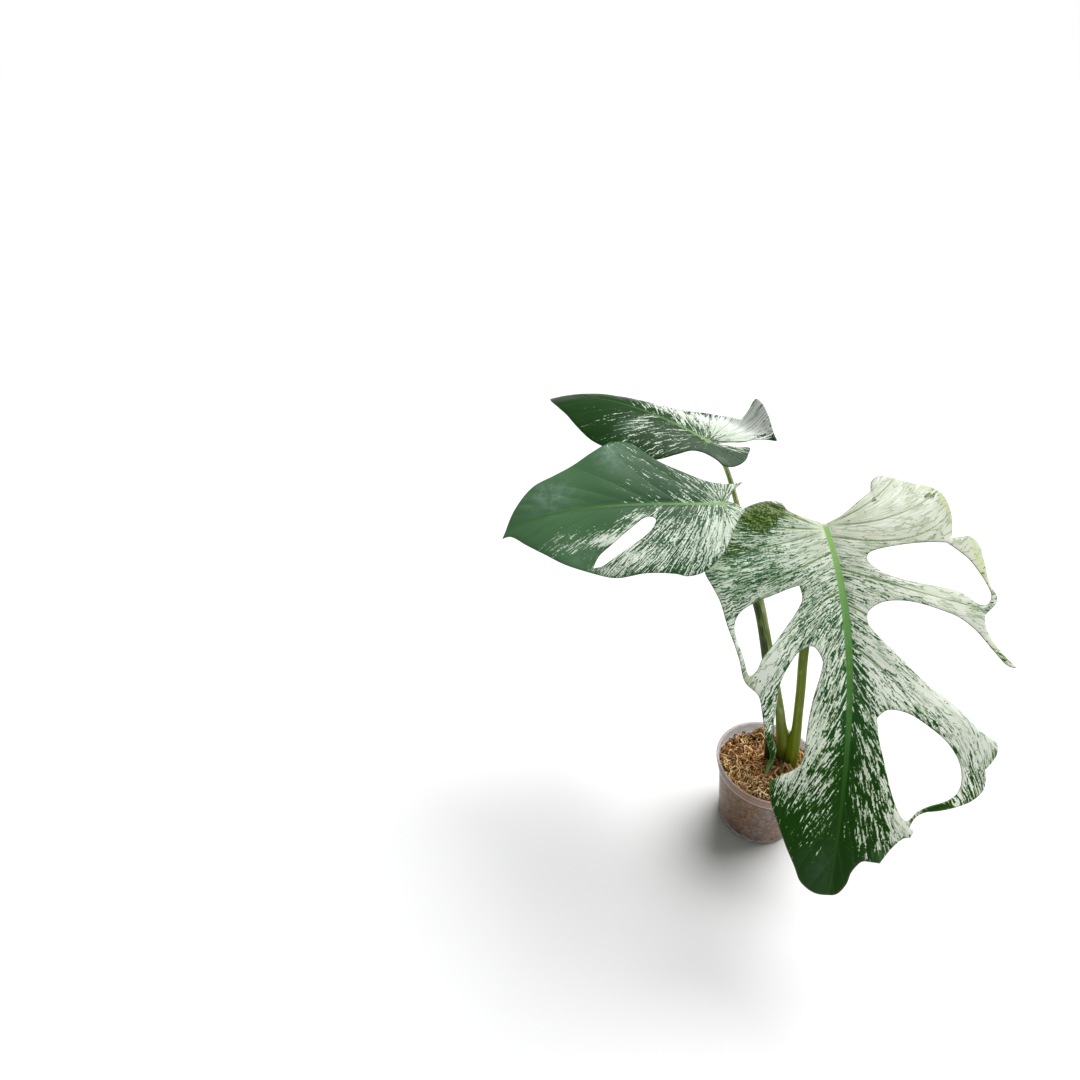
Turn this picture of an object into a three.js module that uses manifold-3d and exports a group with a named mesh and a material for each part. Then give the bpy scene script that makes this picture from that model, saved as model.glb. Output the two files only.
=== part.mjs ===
// A potted devil monster monstera: three leaves on long stalks, a short crown, moss and a clear pot.
// Millimetres, +Z up. The origin is the middle of the pot's underside. The pot opens upwards, the cut
// leaf hangs towards -Y and the two older leaves lean towards -X.

import * as THREE from 'three';
import { mergeVertices } from 'three/addons/utils/BufferGeometryUtils.js';
import Module from 'manifold-3d';

const wasm = await Module();
wasm.setup();

// Driving dimensions

const GAP = 0.3; // clearance between pieces that touch on the plant

const POT_RIM = 60; // outer radius of the lip
const POT_FOOT = 44; // outer radius of the base
const POT_HEIGHT = 98;
const POT_WALL = 1.3;
const POT_FLOOR = 2;
const POT_ROUND = 1.4; // rounding at the foot
const POT_COLLAR = 14; // height of the wider band under the lip, with the lip
const BAND_STEP = 2; // how far the band stands out of the wall below it
const BAND_FOOT = POT_RIM - 3; // outer radius of the band at its lower edge
const BAND_TOP = POT_RIM - 2; // outer radius of the band under the lip
const WALL_TOP = BAND_FOOT - BAND_STEP; // outer radius of the tapered wall under the band
const LIP_HEIGHT = 3.2;
const LIP_ROUND = 0.8;
const POT_SIDES = 40;
const DRAIN_HOLES = 8;
const DRAIN_RADIUS = 4;
const DRAIN_CIRCLE = 29; // radius of the circle that the holes stand on
const DRAIN_SIDES = 16;

const MOSS_TOP = 89; // level of the moss in the middle of the pot
const MOSS_SLOPE = 0.13; // the moss stands higher at the front than at the back
const MOSS_BUMP = 1.3;
const MOSS_CELLS = 12; // squares across the top of the moss, each way

// The crown is an oval stub: its middle, half length along X, half width along Y, and height
const CROWN = { x: 17, y: 7, length: 19, width: 14, bottom: 26, top: 62 };
const CROWN_RINGS = 3; // leaf scars round the crown
const CROWN_RING_DEPTH = 0.05; // of its radius
const CROWN_TAPER = 0.7;
const CROWN_SIDES = 24;

const BLADE_THICKNESS = 0.9;
const FOLD_REACH = 60; // how far out from the midrib the fold flattens
const WAVE_REACH = 80; // how far out from the midrib the wave is full
const WAVE_SLANT = 0.02; // how the wave leans forward, in radians per mm
const RIB_HEIGHT = 2.4; // how far the midrib stands out under the blade at its base
const RIB_HALF_WIDTH = 4.5;
const EDGE_STEP = 7; // spacing of points along a leaf's edge
const INNER_STEP = 10; // spacing of points inside a leaf
const STALK_SIDES = 10;
const STALK_STEPS = 22;
const STALK_NARROWING = 0.8; // how much of its width a stalk keeps where it meets the blade

// Leaves. An outline is a ring of strokes in the leaf's own plane, each a smooth line that starts
// where the one before it ends: [along the midrib from the stalk, to the left of the midrib seen from
// above with the tip ahead]. The midrib is a Bezier curve in the pot's frame, and "up" is the way the
// upper face looks, at the base and at the tip. The neck is the straight end of the stalk.

const LEAF_1 = {
  midrib: [[11, 36, 402], [28, -60, 344], [0, -146, 270], [-15, -204, 174]],
  up: [[-0.05, -0.53, 0.85], [0, -0.84, 0.54]],
  length: 336,
  neck: 14,
  left: { fold: 10, droop: 0.0012 },
  right: { fold: 10, droop: 0.0004 },
  bends: [],
  wave: { height: 2, length: 90 },
  outline: [
    [[-3, 1], [-9, 19], [-20, 38], [-30, 56]],
    [[-42, 62], [-47, 76], [-40, 95], [-35, 110], [-30, 126], [-23, 134]],
    [[-14, 136], [0, 135], [10, 131], [20, 125]],
    [[19, 138], [18, 148], [24, 157], [40, 155], [53, 152], [61, 153], [67, 157], [74, 153], [84, 138]],
    [[94, 138], [103, 144], [112, 154], [123, 171]],
    [[122, 159], [112, 145], [98, 127], [88, 108], [83, 90], [78, 70], [76, 52], [78, 34], [86, 21],
      [96, 19], [105, 24], [117, 36], [137, 59], [150, 78], [163, 99], [178, 122], [187, 145]],
    [[196, 146], [204, 141], [211, 134]],
    [[221, 135], [230, 132], [239, 121], [246, 105], [251, 88], [254, 74], [260, 65], [269, 61]],
    [[271, 65], [277, 63]],
    [[279, 56], [289, 47], [303, 39]],
    [[303, 31], [304, 23], [314, 16], [326, 13], [336, 6], [338, -4], [336, -16], [328, -28],
      [316, -35], [300, -45], [281, -55], [266, -62], [249, -66]],
    [[242, -57], [234, -45], [223, -39], [195, -37], [170, -33], [148, -27], [134, -25], [122, -33],
      [127, -45], [140, -54], [159, -62], [183, -65], [209, -67], [220, -63], [232, -65], [247, -71]],
    [[236, -70], [226, -68], [212, -73], [190, -77], [174, -81], [162, -94], [140, -100], [120, -105],
      [104, -109], [78, -114], [58, -120], [36, -125], [12, -121], [-8, -107], [-24, -89], [-33, -70],
      [-36, -50], [-32, -36], [-22, -31], [-12, -17], [-3, 1]],
  ],
  holes: [
    [[[60, -40], [64, -52], [70, -66], [76, -80], [86, -95], [100, -102], [116, -102], [138, -96],
      [155, -91], [150, -84], [137, -79], [121, -68], [106, -58], [88, -46], [74, -39], [60, -40]]],
    [[[24, 118], [24, 95], [26, 65], [30, 36], [37, 29], [45, 34], [53, 47], [58, 65], [63, 95],
      [67, 116], [75, 131], [75, 143], [68, 150], [60, 149], [48, 144], [36, 136], [24, 118]]],
    [[[180, 24], [172, 34], [173, 52], [182, 72], [194, 92], [208, 105], [222, 109], [234, 105],
      [242, 94], [248, 78], [254, 67], [263, 58], [257, 50], [240, 41], [215, 32], [196, 26], [180, 24]]],
  ],
};

const LEAF_2 = {
  midrib: [[-92, 43, 424], [-161, 30, 431], [-235, 37, 432], [-297, 40, 398]],
  up: [[0, -0.42, 0.9], [0, -0.42, 0.9]],
  length: 210,
  neck: 14,
  left: { fold: 6, droop: 0.001 },
  right: { fold: 6, droop: 0.0012 },
  bends: [],
  wave: { height: 2, length: 80 },
  outline: [
    [[-7, -3], [-12, -11], [-19, -18], [-31, -27]],
    [[-20, -24], [-6, -24], [10, -27], [31, -37], [54, -51], [69, -67], [82, -81], [93, -84],
      [106, -80], [125, -67], [143, -55], [162, -46], [182, -38], [200, -22], [212, -7], [222, 8]],
    [[212, 10], [197, 26], [179, 42], [158, 58], [133, 69], [108, 76], [82, 74], [57, 74], [45, 76],
      [29, 71], [12, 55], [0, 36], [-11, 20], [-22, 9]],
    [[-15, 0], [-7, -3]],
  ],
  holes: [
    [[[131, 64], [124, 53], [110, 42], [91, 26], [77, 15], [68, 18], [75, 31], [92, 45], [111, 57]],
      [[122, 63], [131, 64]]],
  ],
};

const LEAF_3 = {
  midrib: [[-94, 122, 453], [-149, 167, 471], [-210, 218, 470], [-257, 259, 442]],
  up: [[0, 0, 1], [0, 0, 1]],
  length: 216,
  neck: 7,
  left: { fold: 0, droop: 0.004 },
  right: { fold: 0, droop: 0.006 },
  bends: [
    { from: [70, -20], toward: [-0.3, -0.95], rise: 0.006 },
    { from: [0, -50], toward: [-0.1, -0.99], rise: 0.05 },
  ],
  wave: { height: 1.5, length: 70 },
  outline: [
    [[-9, -4], [-16, -16], [-26, -27], [-33, -39], [-42, -46], [-53, -49]],
    [[-46, -54], [-33, -63], [-24, -68], [-15, -72], [-6, -74], [-6, -68], [-5, -61]],
    [[6, -61], [22, -59], [41, -57], [55, -51], [70, -46], [95, -41], [120, -37], [150, -29],
      [185, -14], [216, 0]],
    [[200, 14], [175, 30], [152, 43], [134, 53], [115, 61], [95, 67], [70, 70], [45, 66], [24, 57],
      [12, 42], [4, 28], [-4, 22], [-12, 20], [-22, 20], [-31, 22], [-38, 18], [-42, 9], [-43, -2],
      [-40, -13], [-36, -23], [-26, -16], [-16, -9], [-9, -4]],
  ],
  holes: [],
};

// Stalks, from inside the crown, which trims them, to the blade: [x, y, z, radius]. The underside of
// the blade gives the last two points.
const STALK_1 = [[24, 1, 56, 5], [27, -2, 92, 5.2], [26, 3, 130, 5.6], [24, 10, 166, 5], [21, 14, 201, 4.9],
  [16, 19, 248, 4.9], [11, 30, 340, 4.4]];
const STALK_2 = [[8, 7, 56, 4.6], [3, 9, 92, 4.8], [-6, 11, 155, 4.4], [-17, 15, 210, 4.2],
  [-29, 20, 262, 4], [-45, 26, 315, 3.8], [-72, 42, 371, 3.4]];
const STALK_3 = [[19, 14, 56, 5.4], [19, 15, 92, 5.8], [9, 16, 150, 5.6], [0, 20, 186, 4.6],
  [-18, 38, 253, 3.6], [-29, 52, 294, 3.3], [-62, 91, 395, 2.8], [-71, 111, 421, 2.6], [-77, 118, 432, 2.6],
  [-85, 121, 440, 2.6]];

const COLOURS = {
  blade: 0x8fa67a,
  dark_blade: 0x3f6145,
  stalk: 0x5f6f1c,
  crown: 0x4d4a22,
  moss: 0x9a6a35,
  pot: 0xb9b1b3,
};

// Solids

function solidOf(geometry) {
  const bare = geometry.clone();
  bare.deleteAttribute('normal');
  bare.deleteAttribute('uv');
  const merged = mergeVertices(bare, 1e-4);
  return new wasm.Manifold(new wasm.Mesh({
    numProp: 3,
    vertProperties: new Float32Array(merged.attributes.position.array),
    triVerts: new Uint32Array(merged.index.array),
  }));
}

function geometryOf(solid) {
  const mesh = solid.getMesh();
  const geometry = new THREE.BufferGeometry();
  geometry.setAttribute('position', new THREE.BufferAttribute(new Float32Array(mesh.vertProperties), 3));
  geometry.setIndex([...mesh.triVerts]);
  geometry.computeVertexNormals();
  return geometry;
}

function closedGeometry(vertices, faces) {
  const geometry = new THREE.BufferGeometry();
  const numbers = vertices.flatMap((v) => v.toArray());
  geometry.setAttribute('position', new THREE.Float32BufferAttribute(numbers, 3));
  geometry.setIndex(faces.flat());
  geometry.computeVertexNormals();
  return geometry;
}

function named(name, geometry, material) {
  const mesh = new THREE.Mesh(geometry, material);
  mesh.name = name;
  return mesh;
}

// Leaf blades

function strokePoints(strokes, step) {
  const points = [];
  let start = null;
  for (const stroke of strokes) {
    const knots = (start ? [start, ...stroke] : stroke).map(([s, y]) => new THREE.Vector2(s, y));
    const line = new THREE.SplineCurve(knots);
    points.push(...line.getSpacedPoints(Math.max(1, Math.round(line.getLength() / step))).slice(0, -1));
    start = stroke[stroke.length - 1];
  }
  return points;
}

function inside(point, loops) {
  let within = false;
  for (const loop of loops) {
    loop.forEach((a, i) => {
      const b = loop[(i + 1) % loop.length];
      const crosses = (a.y > point.y) !== (b.y > point.y);
      if (crosses && point.x < a.x + ((b.x - a.x) * (point.y - a.y)) / (b.y - a.y)) within = !within;
    });
  }
  return within;
}

function edgeDistance(point, loops) {
  const line = new THREE.Line3();
  const nearest = new THREE.Vector3();
  const p = new THREE.Vector3(point.x, point.y, 0);
  let least = Infinity;
  for (const loop of loops) {
    loop.forEach((a, i) => {
      const b = loop[(i + 1) % loop.length];
      line.set(new THREE.Vector3(a.x, a.y, 0), new THREE.Vector3(b.x, b.y, 0));
      line.closestPointToPoint(p, true, nearest);
      least = Math.min(least, nearest.distanceTo(p));
    });
  }
  return least;
}

// Rows of points along the midrib and a lattice of points over the rest of the blade.
function innerPoints(loops, length) {
  const points = [];
  const keep = (s, y, room) => {
    const point = new THREE.Vector2(s, y);
    if (inside(point, loops) && edgeDistance(point, loops) > room) points.push(point);
  };
  for (let s = 2; s < length; s += INNER_STEP * 0.9) {
    for (const y of [-RIB_HALF_WIDTH, 0, RIB_HALF_WIDTH]) keep(s, y, 2);
  }
  const box = new THREE.Box2().setFromPoints(loops[0]);
  const rowStep = INNER_STEP * Math.sqrt(0.75);
  for (let row = 0; box.min.y + row * rowStep < box.max.y; row += 1) {
    const y = box.min.y + row * rowStep;
    const shift = (row % 2) * INNER_STEP * 0.5;
    for (let s = box.min.x + shift; s < box.max.x; s += INNER_STEP) {
      if (Math.abs(y) > RIB_HALF_WIDTH + INNER_STEP * 0.4 || s < 0) keep(s, y, INNER_STEP * 0.4);
    }
  }
  return points;
}

function corner(at, from, to) {
  const first = Math.atan2(from.y - at.y, from.x - at.x);
  const second = Math.atan2(to.y - at.y, to.x - at.x);
  const angle = Math.abs(first - second);
  return Math.min(angle, 2 * Math.PI - angle);
}

function cross(a, b, c) {
  return (b.x - a.x) * (c.y - a.y) - (b.y - a.y) * (c.x - a.x);
}

// Turn the diagonal of each pair of triangles that would be fatter with the other one.
function fatten(points, faces) {
  for (let turned = true; turned;) {
    turned = false;
    const pairs = new Map();
    faces.forEach((face, n) => face.forEach((a, i) => {
      const b = face[(i + 1) % 3];
      const key = Math.min(a, b) * points.length + Math.max(a, b);
      pairs.set(key, [...(pairs.get(key) ?? []), n]);
    }));
    const changed = new Set();
    for (const [key, [first, second]] of pairs) {
      if (second === undefined || changed.has(first) || changed.has(second)) continue;
      const a = Math.floor(key / points.length);
      const b = key % points.length;
      const c = faces[first].find((i) => i !== a && i !== b);
      const d = faces[second].find((i) => i !== a && i !== b);
      const sum = corner(points[c], points[a], points[b]) + corner(points[d], points[a], points[b]);
      if (sum < Math.PI + 1e-6) continue;
      faces[first] = cross(points[a], points[d], points[c]) > 0 ? [a, d, c] : [a, c, d];
      faces[second] = cross(points[b], points[c], points[d]) > 0 ? [b, c, d] : [b, d, c];
      changed.add(first).add(second);
      turned = true;
    }
  }
}

// Triangles over the outline, counterclockwise, with every inner point as a corner.
function triangulate(loops, inner) {
  const points = loops.flat();
  const faces = THREE.ShapeUtils.triangulateShape(loops[0], loops.slice(1)).map(([a, b, c]) => (
    cross(points[a], points[b], points[c]) > 0 ? [a, b, c] : [a, c, b]));
  for (const point of inner) {
    const holder = faces.findIndex(([a, b, c]) => Math.min(
      cross(points[a], points[b], point),
      cross(points[b], points[c], point),
      cross(points[c], points[a], point),
    ) > 1e-3);
    if (holder < 0) continue;
    const [a, b, c] = faces[holder];
    const n = points.push(point) - 1;
    faces[holder] = [a, b, n];
    faces.push([b, c, n], [c, a, n]);
  }
  fatten(points, faces);
  return { points, faces };
}

// The blade's middle surface: the midrib's curve, a fold and a droop to each side, local bends that
// grow beyond a line, and a wave that grows towards the edge.
function bladeSurface(leaf) {
  const midrib = new THREE.CubicBezierCurve3(...leaf.midrib.map((p) => new THREE.Vector3(...p)));
  const [upBase, upTip] = leaf.up.map((p) => new THREE.Vector3(...p));
  const frame = (s) => {
    const t = s / leaf.length;
    const along = THREE.MathUtils.clamp(t, 0, 1);
    const tangent = midrib.getTangent(along);
    const speed = 3 * (along > 0.5 ? midrib.v2.distanceTo(midrib.v3) : midrib.v0.distanceTo(midrib.v1));
    const origin = midrib.getPoint(along).addScaledVector(tangent, (t - along) * speed);
    const up = upBase.clone().lerp(upTip, along);
    up.addScaledVector(tangent, -up.dot(tangent)).normalize();
    return { origin, tangent, up, left: up.clone().cross(tangent) };
  };
  const height = (s, y) => {
    const side = y > 0 ? leaf.left : leaf.right;
    const out = Math.abs(y);
    const fold = Math.tan(THREE.MathUtils.degToRad(side.fold)) * out * Math.exp(-out / FOLD_REACH);
    const phase = (2 * Math.PI * s) / leaf.wave.length + y * WAVE_SLANT;
    const wave = leaf.wave.height * Math.sin(phase) * Math.min(1, out / WAVE_REACH) ** 2;
    const bends = leaf.bends.map(({ from, toward, rise }) => (
      rise * Math.max(0, (s - from[0]) * toward[0] + (y - from[1]) * toward[1]) ** 2));
    return fold - side.droop * out * out + wave + bends.reduce((sum, bend) => sum + bend, 0);
  };
  const at = (s, y) => {
    const { origin, up, left } = frame(s);
    return origin.addScaledVector(left, y).addScaledVector(up, height(s, y));
  };
  const normal = (s, y) => {
    const ahead = at(s + 0.5, y).sub(at(s - 0.5, y));
    const left = at(s, y + 0.5).sub(at(s, y - 0.5));
    return ahead.cross(left).normalize();
  };
  return { frame, at, normal };
}

// How deep the midrib stands out under the blade at a point.
function ribDepth(leaf, s, y) {
  const along = THREE.MathUtils.clamp(1 - s / leaf.length, 0, 1);
  const across = Math.max(0, 1 - Math.abs(y) / RIB_HALF_WIDTH);
  return s < 0 ? 0 : RIB_HEIGHT * along * across;
}

function bladeGeometry(leaf) {
  const loops = [leaf.outline, ...leaf.holes].map((strokes) => strokePoints(strokes, EDGE_STEP));
  loops.forEach((loop, i) => {
    if (THREE.ShapeUtils.isClockWise(loop) === (i === 0)) loop.reverse();
  });
  const { points, faces } = triangulate(loops, innerPoints(loops, leaf.length));
  const surface = bladeSurface(leaf);
  const half = BLADE_THICKNESS / 2;
  const top = points.map(({ x, y }) => surface.at(x, y).addScaledVector(surface.normal(x, y), half));
  const bottom = points.map(({ x, y }) => (
    surface.at(x, y).addScaledVector(surface.normal(x, y), -half - ribDepth(leaf, x, y))));
  const under = points.length;
  const all = [...faces, ...faces.map(([a, b, c]) => [a + under, c + under, b + under])];
  let first = 0;
  for (const loop of loops) {
    loop.forEach((_, i) => {
      const a = first + i;
      const b = first + ((i + 1) % loop.length);
      all.push([a, a + under, b + under], [a, b + under, b]);
    });
    first += loop.length;
  }
  return closedGeometry([...top, ...bottom], all);
}

// Stalks

// A round rod along a smooth line, its radius given at each knot.
function rod(knots, radii, sides, steps) {
  const line = new THREE.CatmullRomCurve3(knots, false, 'centripetal');
  const frames = line.computeFrenetFrames(steps, false);
  const vertices = [];
  const faces = [];
  for (let i = 0; i <= steps; i += 1) {
    const t = i / steps;
    const place = t * (radii.length - 1);
    const low = Math.min(Math.floor(place), radii.length - 2);
    const radius = THREE.MathUtils.lerp(radii[low], radii[low + 1], place - low);
    const centre = line.getPoint(t);
    for (let j = 0; j < sides; j += 1) {
      const angle = (2 * Math.PI * j) / sides;
      vertices.push(centre.clone()
        .addScaledVector(frames.normals[i], radius * Math.cos(angle))
        .addScaledVector(frames.binormals[i], radius * Math.sin(angle)));
      if (i === 0) continue;
      const [a, b] = [(i - 1) * sides + j, (i - 1) * sides + ((j + 1) % sides)];
      faces.push([a, b, b + sides], [a, b + sides, a + sides]);
    }
  }
  for (let j = 1; j < sides - 1; j += 1) {
    faces.push([0, j + 1, j], [steps * sides, steps * sides + j, steps * sides + j + 1]);
  }
  return closedGeometry(vertices, faces);
}

// The stalk's line runs up to the underside of the blade and meets it square.
function stalkGeometry(knots, leaf, extra) {
  const { origin, up } = bladeSurface(leaf).frame(2);
  const end = origin.clone().addScaledVector(up, -BLADE_THICKNESS / 2 - RIB_HEIGHT - GAP);
  const neck = origin.clone().addScaledVector(up, -leaf.neck);
  const line = [...knots.map(([x, y, z]) => new THREE.Vector3(x, y, z)), neck, end];
  const last = knots[knots.length - 1][3];
  const radii = [...knots.map(([, , , radius]) => radius), last, last * STALK_NARROWING];
  return rod(line, radii.map((radius) => radius + extra), STALK_SIDES, STALK_STEPS);
}

// Crown, moss and pot

function crownGeometry(extra) {
  const { x, y, length, width, bottom, top } = CROWN;
  const height = top - bottom;
  const tall = height + 2 * extra;
  const geometry = new THREE.CylinderGeometry(1, CROWN_TAPER, tall, CROWN_SIDES, 2 * CROWN_RINGS);
  geometry.rotateX(Math.PI / 2);
  const position = geometry.attributes.position;
  for (let i = 0; i < position.count; i += 1) {
    const turns = (position.getZ(i) / height) * CROWN_RINGS;
    const ring = 1 + CROWN_RING_DEPTH * Math.cos(turns * 2 * Math.PI);
    position.setX(i, x + position.getX(i) * ring * (length + extra));
    position.setY(i, y + position.getY(i) * ring * (width + extra));
    position.setZ(i, position.getZ(i) + (top + bottom) / 2);
  }
  return geometry;
}

function potProfile() {
  const band = POT_HEIGHT - POT_COLLAR;
  const outer = [
    [POT_FOOT - 2 * POT_ROUND, 0],
    [POT_FOOT, POT_ROUND],
    [WALL_TOP, band - BAND_STEP],
    [BAND_FOOT, band],
    [BAND_TOP, POT_HEIGHT - LIP_HEIGHT - LIP_ROUND],
    [POT_RIM, POT_HEIGHT - LIP_HEIGHT],
    [POT_RIM, POT_HEIGHT - LIP_ROUND],
    [POT_RIM - LIP_ROUND, POT_HEIGHT],
  ];
  const inner = [
    [BAND_TOP - LIP_ROUND, POT_HEIGHT],
    [BAND_TOP - POT_WALL, POT_HEIGHT - LIP_ROUND],
    [BAND_FOOT - POT_WALL, band],
    [WALL_TOP - POT_WALL, band - BAND_STEP],
    [POT_FOOT - POT_WALL, POT_FLOOR + POT_ROUND],
    [POT_FOOT - POT_WALL - POT_ROUND, POT_FLOOR],
  ];
  return { outer, inner };
}

function potGeometry() {
  const { outer, inner } = potProfile();
  const line = [[0, 0], ...outer, ...inner, [0, POT_FLOOR]].map(([r, z]) => new THREE.Vector2(r, z));
  const shell = new THREE.LatheGeometry(line, POT_SIDES);
  shell.rotateX(Math.PI / 2);
  let solid = solidOf(shell);
  for (let i = 0; i < DRAIN_HOLES; i += 1) {
    const angle = ((i + 0.5) / DRAIN_HOLES) * 2 * Math.PI;
    const hole = new THREE.CylinderGeometry(DRAIN_RADIUS, DRAIN_RADIUS, 4 * POT_FLOOR, DRAIN_SIDES);
    hole.rotateX(Math.PI / 2);
    hole.translate(DRAIN_CIRCLE * Math.cos(angle), DRAIN_CIRCLE * Math.sin(angle), 0);
    solid = solid.subtract(solidOf(hole));
  }
  return geometryOf(solid);
}

function mossTop(x, y) {
  const bumps = Math.sin(x * 0.21 + 1) * Math.sin(y * 0.25) + 0.6 * Math.sin(x * 0.13 - y * 0.37 + 2);
  return MOSS_TOP - MOSS_SLOPE * y + MOSS_BUMP * bumps;
}

// The moss fills the pot, and every piece that stands in it leaves a plain hole.
function mossGeometry(pieces) {
  const wall = potProfile().inner.reverse().map(([r, z]) => [r - GAP, z]);
  wall[0][1] = POT_FLOOR + GAP;
  const line = [[0, POT_FLOOR + GAP], ...wall, [0, POT_HEIGHT]];
  const filling = new THREE.LatheGeometry(line.map(([r, z]) => new THREE.Vector2(r, z)), POT_SIDES);
  filling.rotateX(Math.PI / 2);
  const heap = new THREE.BoxGeometry(2 * POT_RIM, 2 * POT_RIM, POT_HEIGHT, MOSS_CELLS, MOSS_CELLS, 1);
  const position = heap.attributes.position;
  for (let i = 0; i < position.count; i += 1) {
    const above = position.getZ(i) > 0;
    position.setZ(i, above ? mossTop(position.getX(i), position.getY(i)) : 0);
  }
  const moss = solidOf(filling).intersect(solidOf(heap));
  return geometryOf(pieces.reduce((solid, piece) => solid.subtract(solidOf(piece)), moss));
}

// The plant

function material(colour, roughness, more = {}) {
  return new THREE.MeshStandardMaterial({ color: colour, roughness, metalness: 0, ...more });
}

const plant = new THREE.Group();

const leaves = [
  { name: '1', leaf: LEAF_1, stalk: STALK_1, colour: COLOURS.blade },
  { name: '2', leaf: LEAF_2, stalk: STALK_2, colour: COLOURS.dark_blade },
  { name: '3', leaf: LEAF_3, stalk: STALK_3, colour: COLOURS.dark_blade },
];

const seat = solidOf(crownGeometry(GAP));
for (const { name, leaf, stalk, colour } of leaves) {
  const standing = solidOf(stalkGeometry(stalk, leaf, 0)).subtract(seat);
  plant.add(named(`leaf_${name}`, bladeGeometry(leaf), material(colour, 0.35)));
  plant.add(named(`stalk_${name}`, geometryOf(standing), material(COLOURS.stalk, 0.45)));
}

plant.add(named('crown', crownGeometry(0), material(COLOURS.crown, 0.7)));
const buried = [crownGeometry(GAP), ...leaves.map(({ leaf, stalk }) => stalkGeometry(stalk, leaf, GAP))];
plant.add(named('moss', mossGeometry(buried), material(COLOURS.moss, 0.95)));
plant.add(named('pot', potGeometry(), material(COLOURS.pot, 0.3, { transparent: true, opacity: 0.6 })));

export default plant;
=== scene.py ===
import math

import bpy
import numpy as np
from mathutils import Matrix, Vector
from mathutils.geometry import delaunay_2d_cdt


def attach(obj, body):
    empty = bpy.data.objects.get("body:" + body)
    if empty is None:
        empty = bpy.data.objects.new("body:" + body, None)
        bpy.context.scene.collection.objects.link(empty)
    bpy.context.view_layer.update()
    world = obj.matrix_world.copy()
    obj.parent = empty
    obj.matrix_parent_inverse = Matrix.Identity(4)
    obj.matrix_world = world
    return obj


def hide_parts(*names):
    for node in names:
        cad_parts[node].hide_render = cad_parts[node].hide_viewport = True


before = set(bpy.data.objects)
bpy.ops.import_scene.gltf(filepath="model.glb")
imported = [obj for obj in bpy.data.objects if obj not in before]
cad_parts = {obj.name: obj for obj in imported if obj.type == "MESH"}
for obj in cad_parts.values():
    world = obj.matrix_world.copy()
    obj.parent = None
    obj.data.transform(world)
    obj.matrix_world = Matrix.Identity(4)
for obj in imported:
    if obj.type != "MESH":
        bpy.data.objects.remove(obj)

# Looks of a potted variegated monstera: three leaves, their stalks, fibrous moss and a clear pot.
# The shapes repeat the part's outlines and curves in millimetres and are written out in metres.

MM = 0.001
TURN = 2 * math.pi
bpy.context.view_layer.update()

# Camera, seen from the front left and from above
CAMERA_PLACE = (-0.269, -0.550, 0.780)
CAMERA_PITCH = 33.87
CAMERA_LENS = 23.7
SENSOR_WIDTH = 36

# Light: a wide soft key from above, behind and to the right, and an even fill
KEY_FROM = (0.42, 0.38, 0.82)
KEY_ANGLE = 52
KEY_STRENGTH = 4.5
FILL_STRENGTH = 0.16
FILL_COLOUR = (0.96, 0.98, 1, 1)
FLOOR_REACH = 40

# Pot, as in the part
POT_RIM = 60
POT_FOOT = 44
POT_HEIGHT = 98
POT_WALL = 1.3
POT_FLOOR = 2
POT_ROUND = 1.4
POT_COLLAR = 14
BAND_START = POT_HEIGHT - POT_COLLAR
BAND_STEP = 2
BAND_FOOT = POT_RIM - 3
BAND_TOP = POT_RIM - 2
WALL_TOP = BAND_FOOT - BAND_STEP
LIP_HEIGHT = 3.2
LIP_ROUND = 0.8
POT_SIDES = 128
DRAIN_HOLES = 8
DRAIN_RADIUS = 4
DRAIN_CIRCLE = 29
DRAIN_SIDES = 32

# Moss, as in the part, with mounds beside the stalks: [x, y, reach, lift]
MOSS_TOP = 89
MOSS_SLOPE = 0.13
MOSS_BUMP = 1.3
MOUNDS = [[4, 46, 6, 20], [18, -9, 7, 9]]

# The heap under the fibres
MOSS_SEED = 11
MOSS_RINGS = 46
MOSS_SIDES = 150
MOSS_SINK = 2.2
MOSS_EDGE = 54
WALL_ROOM = 0.8
ROUGH_WAVES = 14
ROUGH_HEIGHT = 1.1
HEAP_LEVELS = (70, 50, 30, 12, POT_FLOOR + 0.5)
HEAP_TONE = 0.2

# Fibres, on top and against the wall
FIBRE_STEPS = 6
FIBRE_RADII = (0.4, 1.0)
FIBRE_ENDS = 0.25
OFF_FIBRE = (0.13, 0.21, 0.97)
TOP_FIBRES = 1500
TOP_REACH = 53
TOP_ROOM = 1.6
TOP_LENGTHS = (1.8, 3.6)
TOP_CURL = 0.55
TOP_WANDER = 0.35
WALL_FIBRES = 700
WALL_FIBRE_ROOM = 0.75
WALL_LENGTHS = (1.6, 3.4)
WALL_WANDER = 0.4

# Blades
BLADE_THICKNESS = 0.9
FOLD_REACH = 60
WAVE_REACH = 80
WAVE_SLANT = 0.02
RIB_HEIGHT = 2.4
RIB_HALF_WIDTH = 4.5
QUILT_HEIGHT = 0.45
QUILT_POWER = 0.7
QUILT_START = 3
QUILT_GROWTH = 12
QUILT_EDGE = 5
GROOVE_DEPTH = 0.5
GROOVE_PLACE = 3.2
GROOVE_REACH = 1.3
GROOVE_EDGE = 3
CORE_START = 0.3
CORE_GROWTH = 0.35
CORE_REACH = 9

# Blade meshes
STROKE_STOPS = 40
EDGE_STEP = 1.7
INNER_STEP = 1.9
EDGE_ROW = 0.8
EDGE_TAPER = 1.5
ON_EDGE = 1e-3
BATCH = 1500

# The way along the side veins
FAN_RADIUS = 80
FAN_GAP = 32
PAST_VEINS = 6
PAST_GAP = 32
HALVINGS = 32
LEFT_SHIFT = 700

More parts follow.
